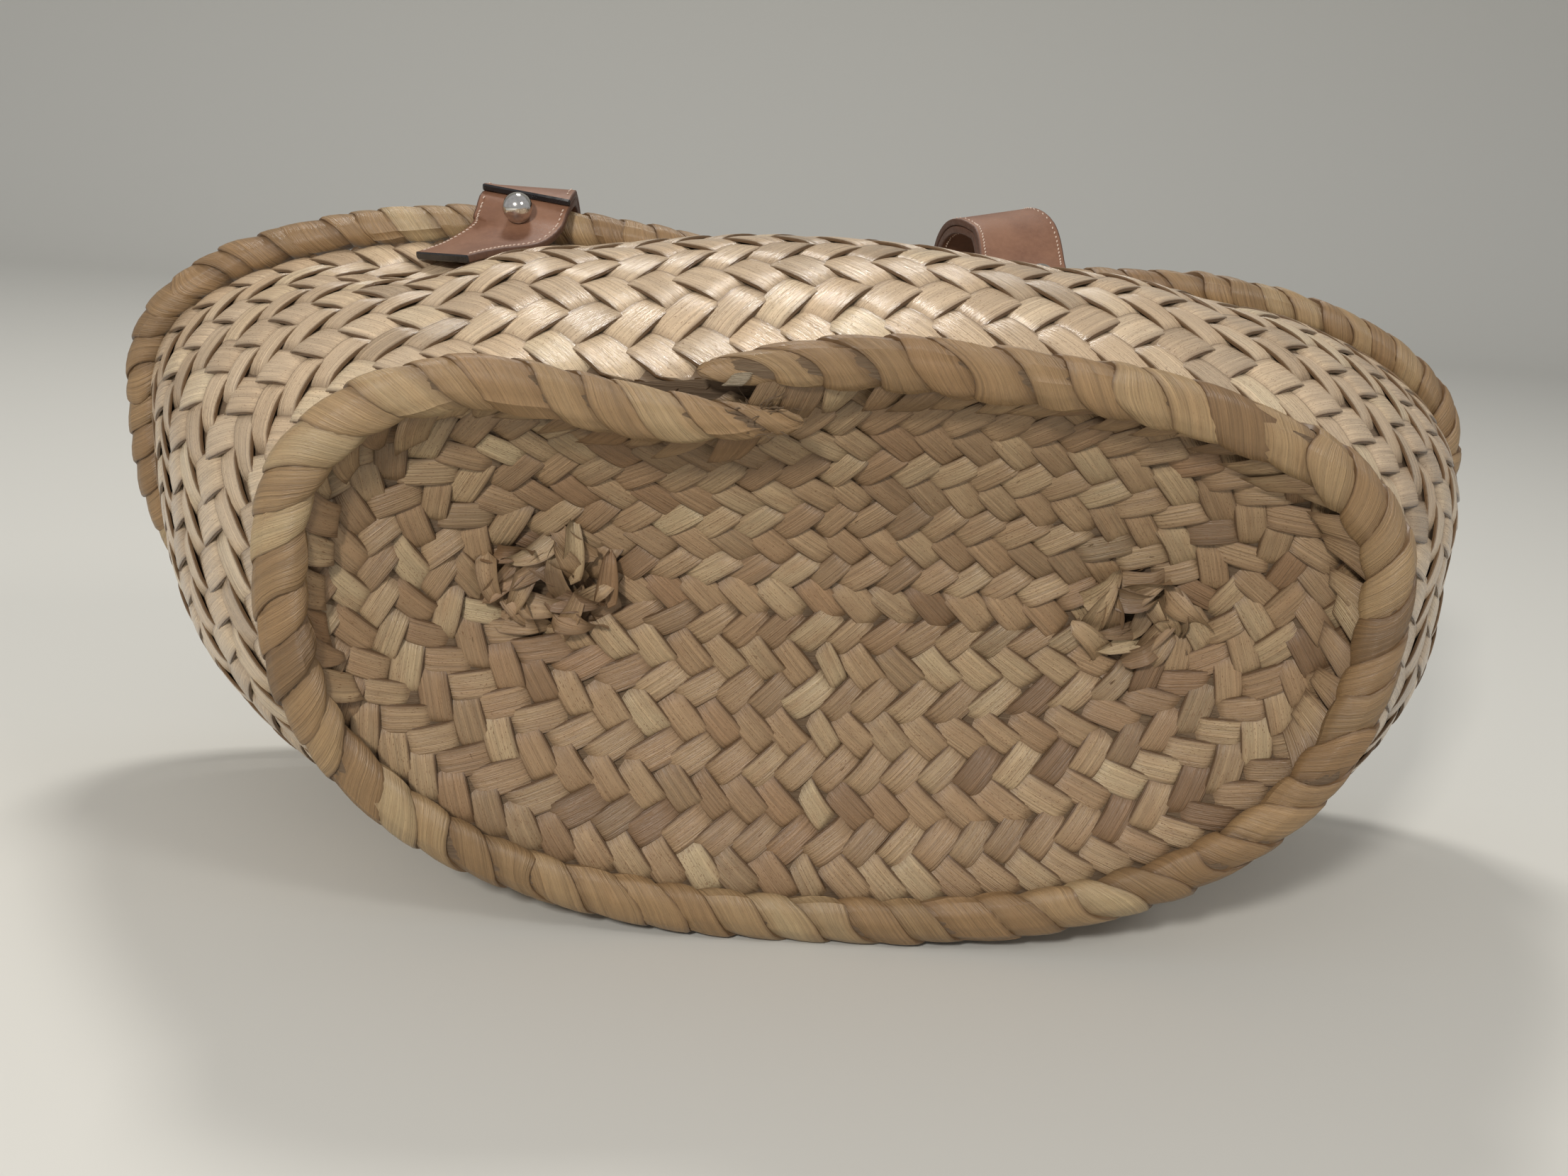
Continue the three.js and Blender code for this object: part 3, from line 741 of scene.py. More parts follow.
def base_weave(name, inward, seed):
    """The base's strips, wilder near the eyes where the laps turn sharply."""
    chance = np.random.default_rng(seed)
    here, first, second, tall, wide, row = base_places()
    eyes = np.min([np.hypot(here[:, 0] - x, here[:, 1] - t) for x, t in EYES], axis=0)
    wild = 0.12 + 0.8 * np.clip(1 - eyes / WILD_REACH, 0, 1)
    pit = PIT_DEPTH * np.exp(-((eyes / PIT_RADIUS) ** 2))[:, None, None]
    x, y, height, values = ribbons(row, chance, BASE_STRIP, -1.0 if inward else 1.0, wild)
    x = x * np.clip(wide, *WIDE_LIMITS)[:, None, None]
    y = y * np.clip(tall, *TALL_LIMITS)[:, None, None]
    place = here[:, None, None] + x[..., None] * first[:, None, None]
    place = place + y[..., None] * second[:, None, None]
    rows = row[:, None, None] - y / np.maximum(tall, 5)[:, None, None]
    level = -WALL - LEVEL - height if inward else LEVEL + height - pit
    points = on_base(place[..., 0], place[..., 1], level - base_depth(rows))
    return add_piece(name, points, [ribbon_faces(len(row), inward)], [BASE_LEAF], values)


base_weave("base_weave", False, 21)
base_weave("base_lining_weave", True, 22)

# %% [markdown]
# At the two ends of the middle line the laps turn back on themselves. There
# the maker folded the strips over one another, which left a pit with loose,
# curled leaf ends. Each is a petal-shaped leaf that is arched along its
# length, cupped across it and twisted, and they lie round the pit in a whorl.
# %% Curled leaves at the eyes
LEAF_ALONG = np.linspace(-1, 1, 11)
LEAF_ACROSS = np.linspace(-1, 1, 7)
WHORLS = [
    {"eye": 0, "way": 1, "leaves": 19, "far": 17, "long": 8.6, "wide": 3.2, "up": 1.7},
    {"eye": 1, "way": -1, "leaves": 16, "far": 15, "long": 8.2, "wide": 3.5, "up": 1.8},
]


def whorl_leaves(row, chance):
    """Leaves of one eye, with share a along a leaf and b across it.

    The half width is wide * (1 - 0.9 * a ** 10) ** 0.5, and narrows to a point at one end. The height is
    up * (1 - a ** 2) + cup * b ** 2 + twist * a * b + tip * a, and beyond a fold the leaf bends down.
    """
    count = row["leaves"]
    eye_x, eye_t = EYES[row["eye"]]
    share = (np.arange(count) + 0.5) / count
    around = row["way"] * share * 2 * np.pi * 3.3 + chance.normal(0, 0.15, count)
    far = row["far"] * np.sqrt(share)
    x0 = eye_x + far * np.cos(around)
    t0 = eye_t + 0.85 * far * np.sin(around)
    turn = around + row["way"] * np.radians(65 + chance.normal(0, 22, count))
    size = chance.uniform(0.8, 1.15, count)
    a = LEAF_ALONG[None, :, None] + np.zeros((count, 1, 1))
    b = LEAF_ACROSS[None, None, :]
    point = chance.uniform(0.35, 0.98, count)[:, None, None]
    wide = (1 - np.abs(a) ** 10 * 0.9) ** 0.5 * (1 - point * ((a + 1) / 2) ** 2) * row["wide"]
    u = a * (row["long"] * size)[:, None, None]
    v = b * wide + chance.normal(0, 0.9, count)[:, None, None] * a * a
    c = np.cos(turn)[:, None, None]
    s = np.sin(turn)[:, None, None]
    x = x0[:, None, None] + u * c - v * s
    t = t0[:, None, None] + u * s + v * c
    arch, cup, twist, tip = (chance.normal(m, d, count)[:, None, None]
                             for m, d in ((row["up"], 0.6), (1.0, 0.5), (1.0, 1.8), (1.4, 1.2)))
    fold = chance.uniform(-0.3, 0.9, count)[:, None, None]
    height = arch * (1 - a * a) + cup * b * b + twist * a * b + tip * a - 4.5 * np.maximum(a - fold, 0)
    number = chance.uniform(0, 1, count)[:, None, None]
    strip = packed(u + APART_ALONG * number, b * 3.5 + APART_ACROSS * number, number)
    # Painted shade: the leaves darken towards the middle of the pit.
    shade = PIT_SHADE - np.hypot(x - eye_x, t - eye_t) / PIT_RADIUS
    painted_shade = packed(np.abs(b), np.maximum(np.abs(a) * 0.55, shade), number)
    depth = BASE_COIL_DEEP + GAP + 0.97 * DENT - 0.9 * np.clip(far / row["far"], 0, 1)[:, None, None]
    return on_base(x, t, height - depth + 0.3), strip, painted_shade


def add_whorls():
    """The leaves of both eyes as one mesh of open sheets."""
    chance = np.random.default_rng(23)
    whorls = [whorl_leaves(row, chance) for row in WHORLS]
    points, strip, painted_shade = (np.concatenate(part) for part in zip(*whorls))
    faces = patch_faces(len(points), LEAF_ALONG, LEAF_ACROSS)
    return add_piece("eye_leaves", points, [faces], [BASE_LEAF], {"strip": strip, "painted_shade": painted_shade})


add_whorls()

# %% [markdown]
# Between the outer and the inner strips runs a thin closed shell of dark
# leaf, whose colour is painted shade, so that the small gaps of the weave look
# into shaded straw and not through the bag. It stands for the CAD body.
# %% Shell between the strips
CORE_OUTSIDE = -1.2
CORE_INSIDE = -1.6


def core_rows(off):
    """Rings of the shell from the mouth down the wall and in over the base, at a depth below the skin."""
    step = PER_ROW // 2
    wall = (WALL_RINGS + WALL_NORMALS * off)[::-step, ::4]
    flat = BASE_RINGS[::step, ::4]
    rows = np.arange(flat.shape[0])[:, None] * step / PER_ROW
    base = on_base(flat[..., 0], flat[..., 1], off - base_depth(rows))
    return np.concatenate([wall, base])


def add_core():
    """Outer and inner rings joined at the mouth, each closed over the line between the eyes."""
    outer = core_rows(CORE_OUTSIDE)
    inner = core_rows(CORE_INSIDE)
    rows, around = outer.shape[:2]
    size = rows * around
    faces = grid_faces(rows, around, closed=True)
    side = np.arange(around)
    after = (side + 1) % around
    mouth = np.stack([side, after, after + size, side + size], -1)
    last = (rows - 1) * around
    caps = np.concatenate([
        np.stack([last + side, np.full(around, 2 * size), last + after], -1),
        np.stack([size + last + after, np.full(around, 2 * size + 1), size + last + side], -1),
    ])
    points = np.concatenate([outer.reshape(-1, 3), inner.reshape(-1, 3),
                             outer[-1].mean(0)[None], inner[-1].mean(0)[None]])
    faces = [faces, faces[:, ::-1] + size, mouth, caps]
    return add_piece("shell_core", points, faces, [UNDER_LEAF], under_values(points))


shell_core = add_core()
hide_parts("basket_body")

# %% [markdown]
# Each coil is a bundle of straw bound by leaf strips that wind round it at
# about 45 degrees, each lying over the edge of the one before. A wrap is a
# ribbon in two parameters, along its winding and across its width, set on a
# tube that runs round the edge.
# %% Line of the coils
LINE_STEPS = 4000
COIL_STARTS = 2
COIL_LIFT = 0.95
COIL_SUNK = 1.25
TOP = 90
SPLICE_START = 99.5
SPLICE_END = 93 - 360
SPLICE_TAPER = 11
SPLICE_OUT = 0.8
SPLICE_OUT_LONG = 17
SPLICE_IN = 1.53
SPLICE_IN_LONG = 32
SPLICE_IN_POWER = 2.4


def smoothstep(value, low, high):
    """0 below low, 1 above high, and a soft step between."""
    return soft(np.clip((value - low) / (high - low), 0, 1))


def splice_in(degrees):
    """How far the lower end of the coil is drawn in towards the middle of the base, in millimetres."""
    share = np.clip(1 - (degrees - SPLICE_END) / SPLICE_IN_LONG, 0, 1)
    return SPLICE_IN * BASE_COIL_WIDE * share ** SPLICE_IN_POWER


def base_coil_point(degrees, out, along, lift=0.0):
    """Point of the base coil: shares of its half sizes, smaller and set aside at its two ends."""
    start = smoothstep(SPLICE_START - degrees, 0, SPLICE_TAPER)
    end = smoothstep(degrees - SPLICE_END, 0, SPLICE_TAPER)
    size = 0.5 + 0.5 * np.minimum(start, end)
    set_out = SPLICE_OUT * BASE_COIL_WIDE * (1 - smoothstep(SPLICE_START - degrees, 0, SPLICE_OUT_LONG))
    across = (BASE_COIL_WIDE * size + lift) * out + set_out - splice_in(degrees)
    x, t = outline(BASE_OVAL, np.radians(degrees), BASE_COIL_WIDE - across)
    return on_base(x, t, (BASE_COIL_DEEP * size + lift) * along)


def rim_coil_point(degrees, out, along, lift=0.0):
    """Point of the rim coil, a closed ring of one size."""
    x, t = outline(RIM_OVAL, np.radians(degrees), -(RIM_COIL_WIDE + lift) * out)
    return on_rim(x, t, (RIM_COIL_DEEP + lift) * along)


def even_degrees(point, start, end, pitch):
    """How many wraps fit on a coil's line, and the angle at a wrap number."""
    fine = np.linspace(start, end, LINE_STEPS)
    run = run_along(point(fine, 0 * fine, 0 * fine))
    count = round(run[-1] / pitch)
    return count, lambda wrap: np.interp(wrap * run[-1] / count, run, fine)


# %% Wraps of the coils
BASE_WRAP_PITCH = 12.6
RIM_WRAP_PITCH = 10.1
END_LENGTH = 0.7
CORE_SIZE = 0.76
CORE_RINGS = 240
CORE_SIDES = 16
WRAP_ROUND = np.linspace(0, 1, 34)
WRAP_ACROSS = np.array([0.0, 0.0, 0.07, 0.3, 0.6, 0.85, 1.25])
WRAP_HEIGHT = np.array([-0.35, 0.62, 0.95, 1.0, 0.8, 0.4, -0.2])
TONGUE = 0.7


def wrap_coil(name, point, start, end, pitch, seam, way, closed, seed):
    """Bound coil: wrap number plus winding gives the place along it, the winding gives the section.

    A wrap steps up at its front edge and sinks under the next one. On the inner side it bulges by
    tongue * sin(pi * across), and at a loose end of the coil the section shrinks like a rounded cap.
    """
    chance = np.random.default_rng(seed)
    count, degrees_at = even_degrees(point, start, end, pitch)
    wraps = np.arange(count) if closed else np.arange(-COIL_STARTS, count)
    share = WRAP_ROUND[None, :, None]
    turned = seam + 2 * np.pi * share
    width = WRAP_ACROSS[None, None, :] * (1 + chance.normal(0, 0.05, len(wraps)))[:, None, None]
    wander = chance.normal(0, 0.1, (3, len(wraps)))[..., None, None]
    drift = wander[0] + wander[1] * np.sin(turned) + wander[2] * np.cos(2 * turned)
    edges = np.clip(1 - WRAP_ACROSS, 0, 1)[None, None, :]
    winding = way * COIL_STARTS * (share - 0.5)
    place = wraps[:, None, None] + width + drift * edges + winding + COIL_STARTS / 2
    degrees = degrees_at(place % count if closed else np.clip(place, 0, count))
    thick = (1 + chance.normal(0, 0.22, len(wraps)))[:, None, None]
    pucker = chance.normal(0, 0.12, (len(wraps), len(WRAP_ROUND), 1))
    lift = COIL_LIFT * (WRAP_HEIGHT[None, None, :] * thick - COIL_SUNK) + pucker
    belly = np.sin(np.pi * np.clip(WRAP_ACROSS, 0, 1))[None, None, :]
    lift = lift + TONGUE * belly * np.clip(-np.cos(turned) + 0.3, 0, 1)
    near_end = 1.0 if closed else np.clip(np.minimum(place, count - place) / END_LENGTH, 0, 1)
    close = np.sqrt(1 - (1 - near_end) ** 2) + 0 * place
    points = point(degrees, np.cos(turned) * close, np.sin(turned) * close, lift * close)
    number = chance.uniform(0, 1, len(wraps))[:, None, None]
    strip = packed(share * 40 + APART_ALONG * number, WRAP_ACROSS * pitch + 0 * place, number)
    # Painted shade: a wrap darkens along its stepped front edge and towards the end that sinks under the
    # next wrap.
    painted_shade = packed(1 - np.clip(WRAP_ACROSS * 2.5, 0, 1), WRAP_ACROSS * 0.7 + 0 * place, number)
    values = {"strip": strip, "painted_shade": painted_shade}
    faces = patch_faces(len(wraps), WRAP_ROUND, WRAP_ACROSS)
    if way * (end - start) > 0:
        faces = faces[:, ::-1]
    return add_piece(name, points, [faces], [COIL_LEAF], values)


def coil_core(name, point, start, end, closed):
    """Plain tube inside the wraps, a little thinner than the coil, with rounded ends where it is open."""
    degrees = np.linspace(start, end, CORE_RINGS, endpoint=not closed)
    turned = circle(CORE_SIDES)
    size = np.full(CORE_RINGS, CORE_SIZE)
    if not closed:
        size[[0, 1, -2, -1]] = [0.02, 0.6, 0.6, 0.02]
    points = point(degrees[:, None], size[:, None] * np.cos(turned), size[:, None] * np.sin(turned))
    faces = grid_faces(CORE_RINGS, CORE_SIDES, closed=True)
    if closed:
        last = (CORE_RINGS - 1) * CORE_SIDES
        i = np.arange(CORE_SIDES)
        j = (i + 1) % CORE_SIDES
        faces = np.concatenate([faces, np.stack([last + i, i, j, last + j], -1)])
    # Its dark leaf is painted shade in the gaps between the wraps.
    return add_piece(name, points, [faces], [UNDER_LEAF], under_values(points))


BASE_COIL_LINE = (base_coil_point, SPLICE_START, SPLICE_END)
RIM_COIL_LINE = (rim_coil_point, TOP, TOP - 360)
wrap_coil("base_coil_wraps", *BASE_COIL_LINE, BASE_WRAP_PITCH, -np.pi / 2, 1, False, 31)
base_core = coil_core("base_coil_core", *BASE_COIL_LINE, False)
wrap_coil("rim_coil_wraps", *RIM_COIL_LINE, RIM_WRAP_PITCH, np.pi / 2, -1, True, 32)
rim_core = coil_core("rim_coil_core", *RIM_COIL_LINE, True)
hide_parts("base_coil")
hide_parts("rim_coil")

# %% [markdown]
# Under the inner edge of the base coil, the ends of the base's strips show as
# small leaf tabs. Each comes out from under the wraps, slopes down to the
# base and leans along the coil. At the top its end lies over the strips, at
# the sides it tucks under them, and along the bottom the base's own strips
# reach the coil. Its shape is a straight slope with a bow.
# %% Tabs under the coil
TAB_PITCH = 9.6
TAB_HALF = 5.4
TAB_LEAN = 8.5
TAB_START = 10
TAB_LONG = 9
TAB_HIGH = 1.5
TAB_REACH = 6
TAB_LOWEST = 62
TAB_ROW = 8.3
TAB_ALONG = np.linspace(0, 1, 7)
TAB_ACROSS = np.array([-1, -0.94, -0.5, 0, 0.5, 0.94, 1])


def inner_edge(degrees, *section):
    """Line along the inner edge of the coil, in the plane of the base, whatever the section's offsets."""
    return on_base(*outline(BASE_OVAL, np.radians(degrees), 2 * BASE_COIL_WIDE), 0 * degrees)


def add_tabs():
    """One leaf per pitch: share s runs from under the wraps to the base, b runs across it."""
    chance = np.random.default_rng(33)
    count, degrees_at = even_degrees(inner_edge, TOP, TOP - 360, TAB_PITCH)
    s = TAB_ALONG[None, :, None] + np.zeros((count, 1, 1))
    b = TAB_ACROSS[None, None, :]
    spans = ((0.3, 0.3), (TAB_LONG, 1.3), (TAB_LEAN, 1.8), (0.5, 0.3), (0, 0.8))
    point, long, lean, tilt, slide = (chance.normal(m, d, count)[:, None, None] for m, d in spans)
    across = b * TAB_HALF * (1 - np.clip(point, 0, 0.8) * s ** 2) - lean * (s - 0.4) + slide
    degrees = degrees_at((np.arange(count)[:, None, None] + 0.5 + across / TAB_PITCH) % count)
    middle = degrees_at(np.arange(count) + 0.5)[:, None, None]
    side, height = outline(BASE_OVAL, np.radians(middle), TAB_START)
    under = smoothstep(side, -26, -20) * (1 - smoothstep(side, 0, 14))
    inside = TAB_START - TAB_REACH * under + s * (long + TAB_REACH * under)
    inside = inside + splice_in(middle) * (1 - under)
    x, t = outline(BASE_OVAL, np.radians(degrees), inside)
    row = np.clip((inside - 2 * BASE_COIL_WIDE) / TAB_ROW, 0, BASE_ROWS)
    over = smoothstep(t, 60, 120) * 2.2 - 1.6
    out = TAB_HIGH * (1 - s) + (over - base_depth(row)) * s + 0.5 * np.sin(np.pi * s)
    out = out - tilt * b - 0.3 * b * b
    number = chance.uniform(0, 1, count)[:, None, None]
    strip = packed(s * 9 + APART_ALONG * number, b * 3.6 + APART_ACROSS * number, number)
    # Painted shade: a tab is darkest where it comes out from under the wraps, and darker along its sides
    # and towards its far end.
    painted_shade = packed(np.maximum(np.abs(b), s ** 3), 0.8 * (1 - s ** 3), number)
    kept = height[:, 0, 0] > TAB_LOWEST
    values = {"strip": strip[kept], "painted_shade": painted_shade[kept]}
    faces = patch_faces(kept.sum(), TAB_ALONG, TAB_ACROSS)
    return add_piece("coil_tabs", on_base(x, t, out)[kept], [faces], [BASE_LEAF], values)


add_tabs()

# %% [markdown]
# Where the coil's two ends pass each other at the top, the maker let the
# core's fibres show, and torn threads hang from the lower end. A fibre is a
# thin round line: a circle carried along a bent path.
# %% Fibres at the splice
FIBRE_SIDES = 5
FIBRE_STEPS = 9
CORE_FIBRES = 11
CORE_THICK = 0.33
TORN_THREADS = 46
TORN_THICK = 0.16
TORN_PLACE = (-22.5, 151.5)


def add_fibres(name, starts, ends, sag, thick, material, seed):
    """Round lines from start to end points, with a bow of the given sag and a wave of half that."""
    chance = np.random.default_rng(seed)
    count = len(starts)
    s = np.linspace(0, 1, FIBRE_STEPS)[None, :, None]
    way = unit(chance.normal(0, 1, (count, 1, 3)))
    second_way = unit(chance.normal(0, 1, (count, 1, 3)))
    line = starts[:, None] * (1 - s) + ends[:, None] * s
    line = line + sag * (way * np.sin(np.pi * s) + 0.5 * second_way * np.sin(2 * np.pi * s))
    along = unit(np.gradient(line, axis=1))
    side = unit(np.cross(along, [0.3, 0.2, 1.0]))
    up = np.cross(side, along)
    turn = circle(FIBRE_SIDES)[None, None, :, None]
    size = thick * np.sqrt(np.clip(np.minimum(s, 1 - s) * 8, 0.02, 1))[..., None]
    ring = np.cos(turn) * side[:, :, None] + np.sin(turn) * up[:, :, None]
    points = (line[:, :, None] + size * ring).reshape(-1, 3)
    tube = grid_faces(FIBRE_STEPS, FIBRE_SIDES, closed=True)
    caps = end_caps(FIBRE_STEPS, FIBRE_SIDES)
    faces = [repeat_faces(shape, count, FIBRE_STEPS * FIBRE_SIDES) for shape in (tube, caps)]
    values = {"strip": points * (0.4, 3, 0.4), "painted_shade": np.zeros_like(points)}
    return add_piece(name, points, faces, [material], values)


def splice_fibres():
    """Pale core fibres side by side on the upper end, and torn threads round the lower end's tip."""
    chance = np.random.default_rng(34)
    lane = np.linspace(-1, 1, CORE_FIBRES)
    bow = 2.7 * np.sqrt(1 - 0.8 * lane ** 2)
    core_start = on_base(-31 + 1.2 * lane, 161 + 1.7 * lane, bow)
    core_end = on_base(-26 + 1.2 * lane, 161.6 + 1.8 * lane, bow + 0.2)
    add_fibres("core_fibres", core_start, core_end, 0.15, CORE_THICK, PALE_FIBRE, 35)
    x = chance.normal(TORN_PLACE[0], 1.4, TORN_THREADS)
    t = chance.normal(TORN_PLACE[1], 1.8, TORN_THREADS)
    root = on_base(x, t, chance.uniform(-3, 2, TORN_THREADS))
    tip = root + chance.normal(0, 1, (TORN_THREADS, 3)) * (3.6, 1.6, 2.4) + (1.2, -1.2, 1.2)
    add_fibres("torn_threads", root, tip, 0.8, TORN_THICK, UNDER_LEAF, 36)


splice_fibres()

# %% [markdown]
# A strap is two layers of leather sewn together: a long strap, and a facing
# that stops short of its ends. Its line is a smooth curve through the same
# stations as in the CAD source, with the way its width points at each.
# %% Stations of the straps
STRAP_WIDTH = 28
STRAP_THICK = 2.4
FACING_THICK = 1.9
FACING_SEAT = 0.4
FACING_SUNK = 0.3
STRAP_STEPS = 76
STRAP_WALK = 6000
FACING_FIRST = 6
FACING_LAST = 72
MOUTH_HEIGHT = RIM_OVAL["up"] + RIM_OVAL["low"]
FRONT_ROUTE = [
    {"free": [-0.541, 0.607, 0.957], "wide": [0.9, -0.42, 0.17]},
    {"free": [-0.497, 0.669, 0.976], "wide": [0.9, -0.4, 0.13]},
    {"free": [-0.457, 0.726, 1.001], "wide": [0.93, -0.3, 0]},
    {"free": [-0.446, 0.762, 1.025], "wide": [0.97, -0.2, -0.1]},
    {"rim": [110.4, 0.95, -0.84]},
    {"rim": [110.1, 1.08, 0]},
    {"rim": [110.1, 0.86, 0.86]},
    {"rim": [109.8, -0.24, 1.56]},
    {"free": [-0.42, 0.941, 0.874], "wide": [1, -0.2, 0]},
    {"free": [-0.406, 1.015, 0.683], "wide": [0.92, 0.38, 0]},
    {"free": [-0.358, 1.119, 0.493], "wide": [0.6, 0.8, 0]},
    {"free": [-0.236, 1.185, 0.314], "wide": [0.2, 0.98, 0]},
    {"free": [-0.066, 1.207, 0.241], "wide": [0, 1, 0]},
    {"free": [0.094, 1.2, 0.291], "wide": [-0.15, 0.98, 0]},
    {"free": [0.203, 1.163, 0.459], "wide": [-0.45, 0.89, 0]},
    {"free": [0.255, 1.126, 0.661], "wide": [-0.75, 0.66, 0]},
    {"free": [0.259, 1.096, 0.829], "wide": [-0.95, 0.2, -0.05]},
    {"free": [0.245, 1.059, 0.969], "wide": [-0.94, -0.15, -0.16]},
    {"free": [0.245, 0.996, 1.045], "wide": [-0.94, -0.26, -0.18]},
    {"free": [0.255, 0.926, 1.069], "wide": [-0.94, -0.28, -0.18]},
    {"free": [0.274, 0.867, 1.06], "wide": [-0.93, -0.33, -0.15]},
    {"free": [0.282, 0.776, 1.003], "wide": [-0.9, -0.36, -0.15]},
    {"free": [0.284, 0.733, 0.98], "wide": [-0.92, -0.34, -0.12]},
    {"wall": [77, 0.87, 1.3]},
    {"wall": [76.6, 0.79, 1.25]},
]
BACK_ROUTE = [
    {"wall": [252, 0.7, 0.88]},
    {"wall": [252, 0.82, 0.75]},
    {"rim": [252, 0.86, -1.43]},
    {"rim": [252, 1.05, 0]},
    {"rim": [252, 1.02, 1.11]},
    {"free": [-0.448, 1.185, 0.049], "wide": [-1, 0, 0.06]},
    {"free": [-0.458, 1.348, 0.056], "wide": [-0.95, 0, 0.3]},
    {"free": [-0.443, 1.541, 0.077], "wide": [-0.72, -0.1, 0.7]},
    {"free": [-0.382, 1.763, 0.085], "wide": [-0.2, -0.15, 0.97]},
    {"free": [-0.255, 1.933, 0.082], "wide": [0, 0, 1]},
    {"free": [-0.094, 2.007, 0.081], "wide": [0, 0, 1]},
    {"free": [0.094, 2.007, 0.081], "wide": [0, 0, 1]},
    {"free": [0.255, 1.933, 0.082], "wide": [0, 0, 1]},
    {"free": [0.382, 1.763, 0.085], "wide": [0.2, -0.15, 0.97]},
    {"free": [0.443, 1.541, 0.077], "wide": [0.72, -0.1, 0.7]},
    {"free": [0.458, 1.348, 0.056], "wide": [0.95, 0, 0.3]},
    {"free": [0.448, 1.185, 0.049], "wide": [1, 0, 0.06]},
    {"rim": [288, 1.02, 1.11]},
    {"rim": [288, 1.05, 0]},
    {"rim": [288, 0.86, -1.43]},
    {"wall": [288, 0.82, 0.88]},
    {"wall": [288, 0.7, 1.04]},
]


# %% Line of a strap
def station_place(row, shift=0.0):
    """Place of a station: on the wall, off the rim coil's core, or free."""
    if "free" in row:
        return np.array(row["free"]) * (RIM_OVAL["half"], RIM_Y, MOUTH_HEIGHT)
    if "wall" in row:
        angle, share, off = row["wall"]
        return wall_point(np.radians(angle + shift), np.float64(share), off * STRAP_THICK)
    angle, out, along = row["rim"]
    x, t = outline(RIM_OVAL, np.radians(angle + shift), -out * RIM_COIL_DEEP)
    return on_rim(x, t, along * RIM_COIL_DEEP)


def curve_points(stations, u):
    """Smooth curve through the stations: cubics whose slopes follow the root of their distances."""
    first = 2 * stations[0] - stations[1]
    last = 2 * stations[-1] - stations[-2]
    p = np.concatenate([[first], stations, [last]])
    i = np.minimum(u.astype(int), len(stations) - 2)
    t = (u - i)[:, None]
    step = np.sqrt(np.linalg.norm(np.diff(p, axis=0), axis=1))[:, None]
    d0, d1, d2 = step[i], step[i + 1], step[i + 2]
    p0, p1, p2, p3 = p[i], p[i + 1], p[i + 2], p[i + 3]
    s1 = ((p1 - p0) / d0 - (p2 - p0) / (d0 + d1) + (p2 - p1) / d1) * d1
    s2 = ((p2 - p1) / d1 - (p3 - p1) / (d1 + d2) + (p3 - p2) / d2) * d1
    return p1 + s1 * t + (3 * (p2 - p1) - 2 * s1 - s2) * t * t + (2 * (p1 - p2) + s1 + s2) * t ** 3


def strap_frames(route, steps):
    """Evenly spaced places along a strap with the directions of its run, its width and its outer side."""
    stations = np.array([station_place(row) for row in route])
    count = len(stations) - 1
    fine = np.linspace(0, count, STRAP_WALK + 1)
    line = curve_points(stations, fine)
    run = run_along(line)
    slope = unit(np.gradient(line, axis=0))
    widths = []
    for i, row in enumerate(route):
        if "free" in row:
            widths.append(unit(np.array(row["wide"], float)))
            continue
        along = slope[i * STRAP_WALK // count]
        angle = math.radians((row.get("wall") or row["rim"])[0])
        normal = unit(np.cross(station_place(row, 0.5) - station_place(row, -0.5), along))
        if normal @ np.array([math.cos(angle), 0, math.sin(angle)]) < 0:
            normal = -normal
        widths.append(unit(np.cross(along, normal)))
    widths = np.array(widths)
    u = np.interp(np.asarray(steps, float) / STRAP_STEPS * run[-1], run, fine)
    place = read_off(u, fine, line)
    along = unit(read_off(u, fine, slope))
    i = np.minimum(u.astype(int), count - 1)
    wide = widths[i] + (widths[i + 1] - widths[i]) * (u - i)[:, None]
    wide = unit(wide - along * (wide * along).sum(-1, keepdims=True))
    return place, wide, np.cross(wide, along), run[-1]


# %% [markdown]
# Leather is brown, smooth and a little glossy, with fine pores and cloudy
# shade. Its long edges are cut and dark, and its ends are painted black. The
# thread is pale and dull, and the ball studs are polished steel.
# %% Leather, paint, thread and steel
BROWN = (0.2, 0.098, 0.055, 1)
DARK_BROWN = (0.13, 0.057, 0.031, 1)
PALE_BROWN = (0.25, 0.125, 0.075, 1)


def object_noise(tree, scale, detail=2.0, rough=0.5):
    """Noise in the space of the object, in metres times a scale."""
    place = tree.nodes.new("ShaderNodeTexCoord").outputs["Object"]
    return noise(tree, place, detail, rough, scale)


def leather_material():
    """Brown leather: cloudy colour, pores as relief and a gloss that varies with them."""
    material, tree, shader = new_material("brown leather")
    cloud = object_noise(tree, 60, 3)
    pores = object_noise(tree, 2600, 2, 0.6)
    fine = object_noise(tree, 700, 3, 0.6)
    colour = blend(tree, spread(tree, cloud, 0.35, 0.68), BROWN, DARK_BROWN)
    colour = blend(tree, spread(tree, fine, 0.4, 0.7, 0, 0.3), colour, PALE_BROWN)
    rough = spread(tree, maths(tree, "ADD", fine, pores), 0.7, 1.3, 0.5, 0.66)
    feed(tree, shader, {"Base Color": colour, "Roughness": rough, "Specular IOR Level": 0.35})
    height = maths(tree, "ADD", maths(tree, "MULTIPLY", pores, 0.5), fine)
    add_relief(tree, shader, height, 0.35, 0.00015)
    return material


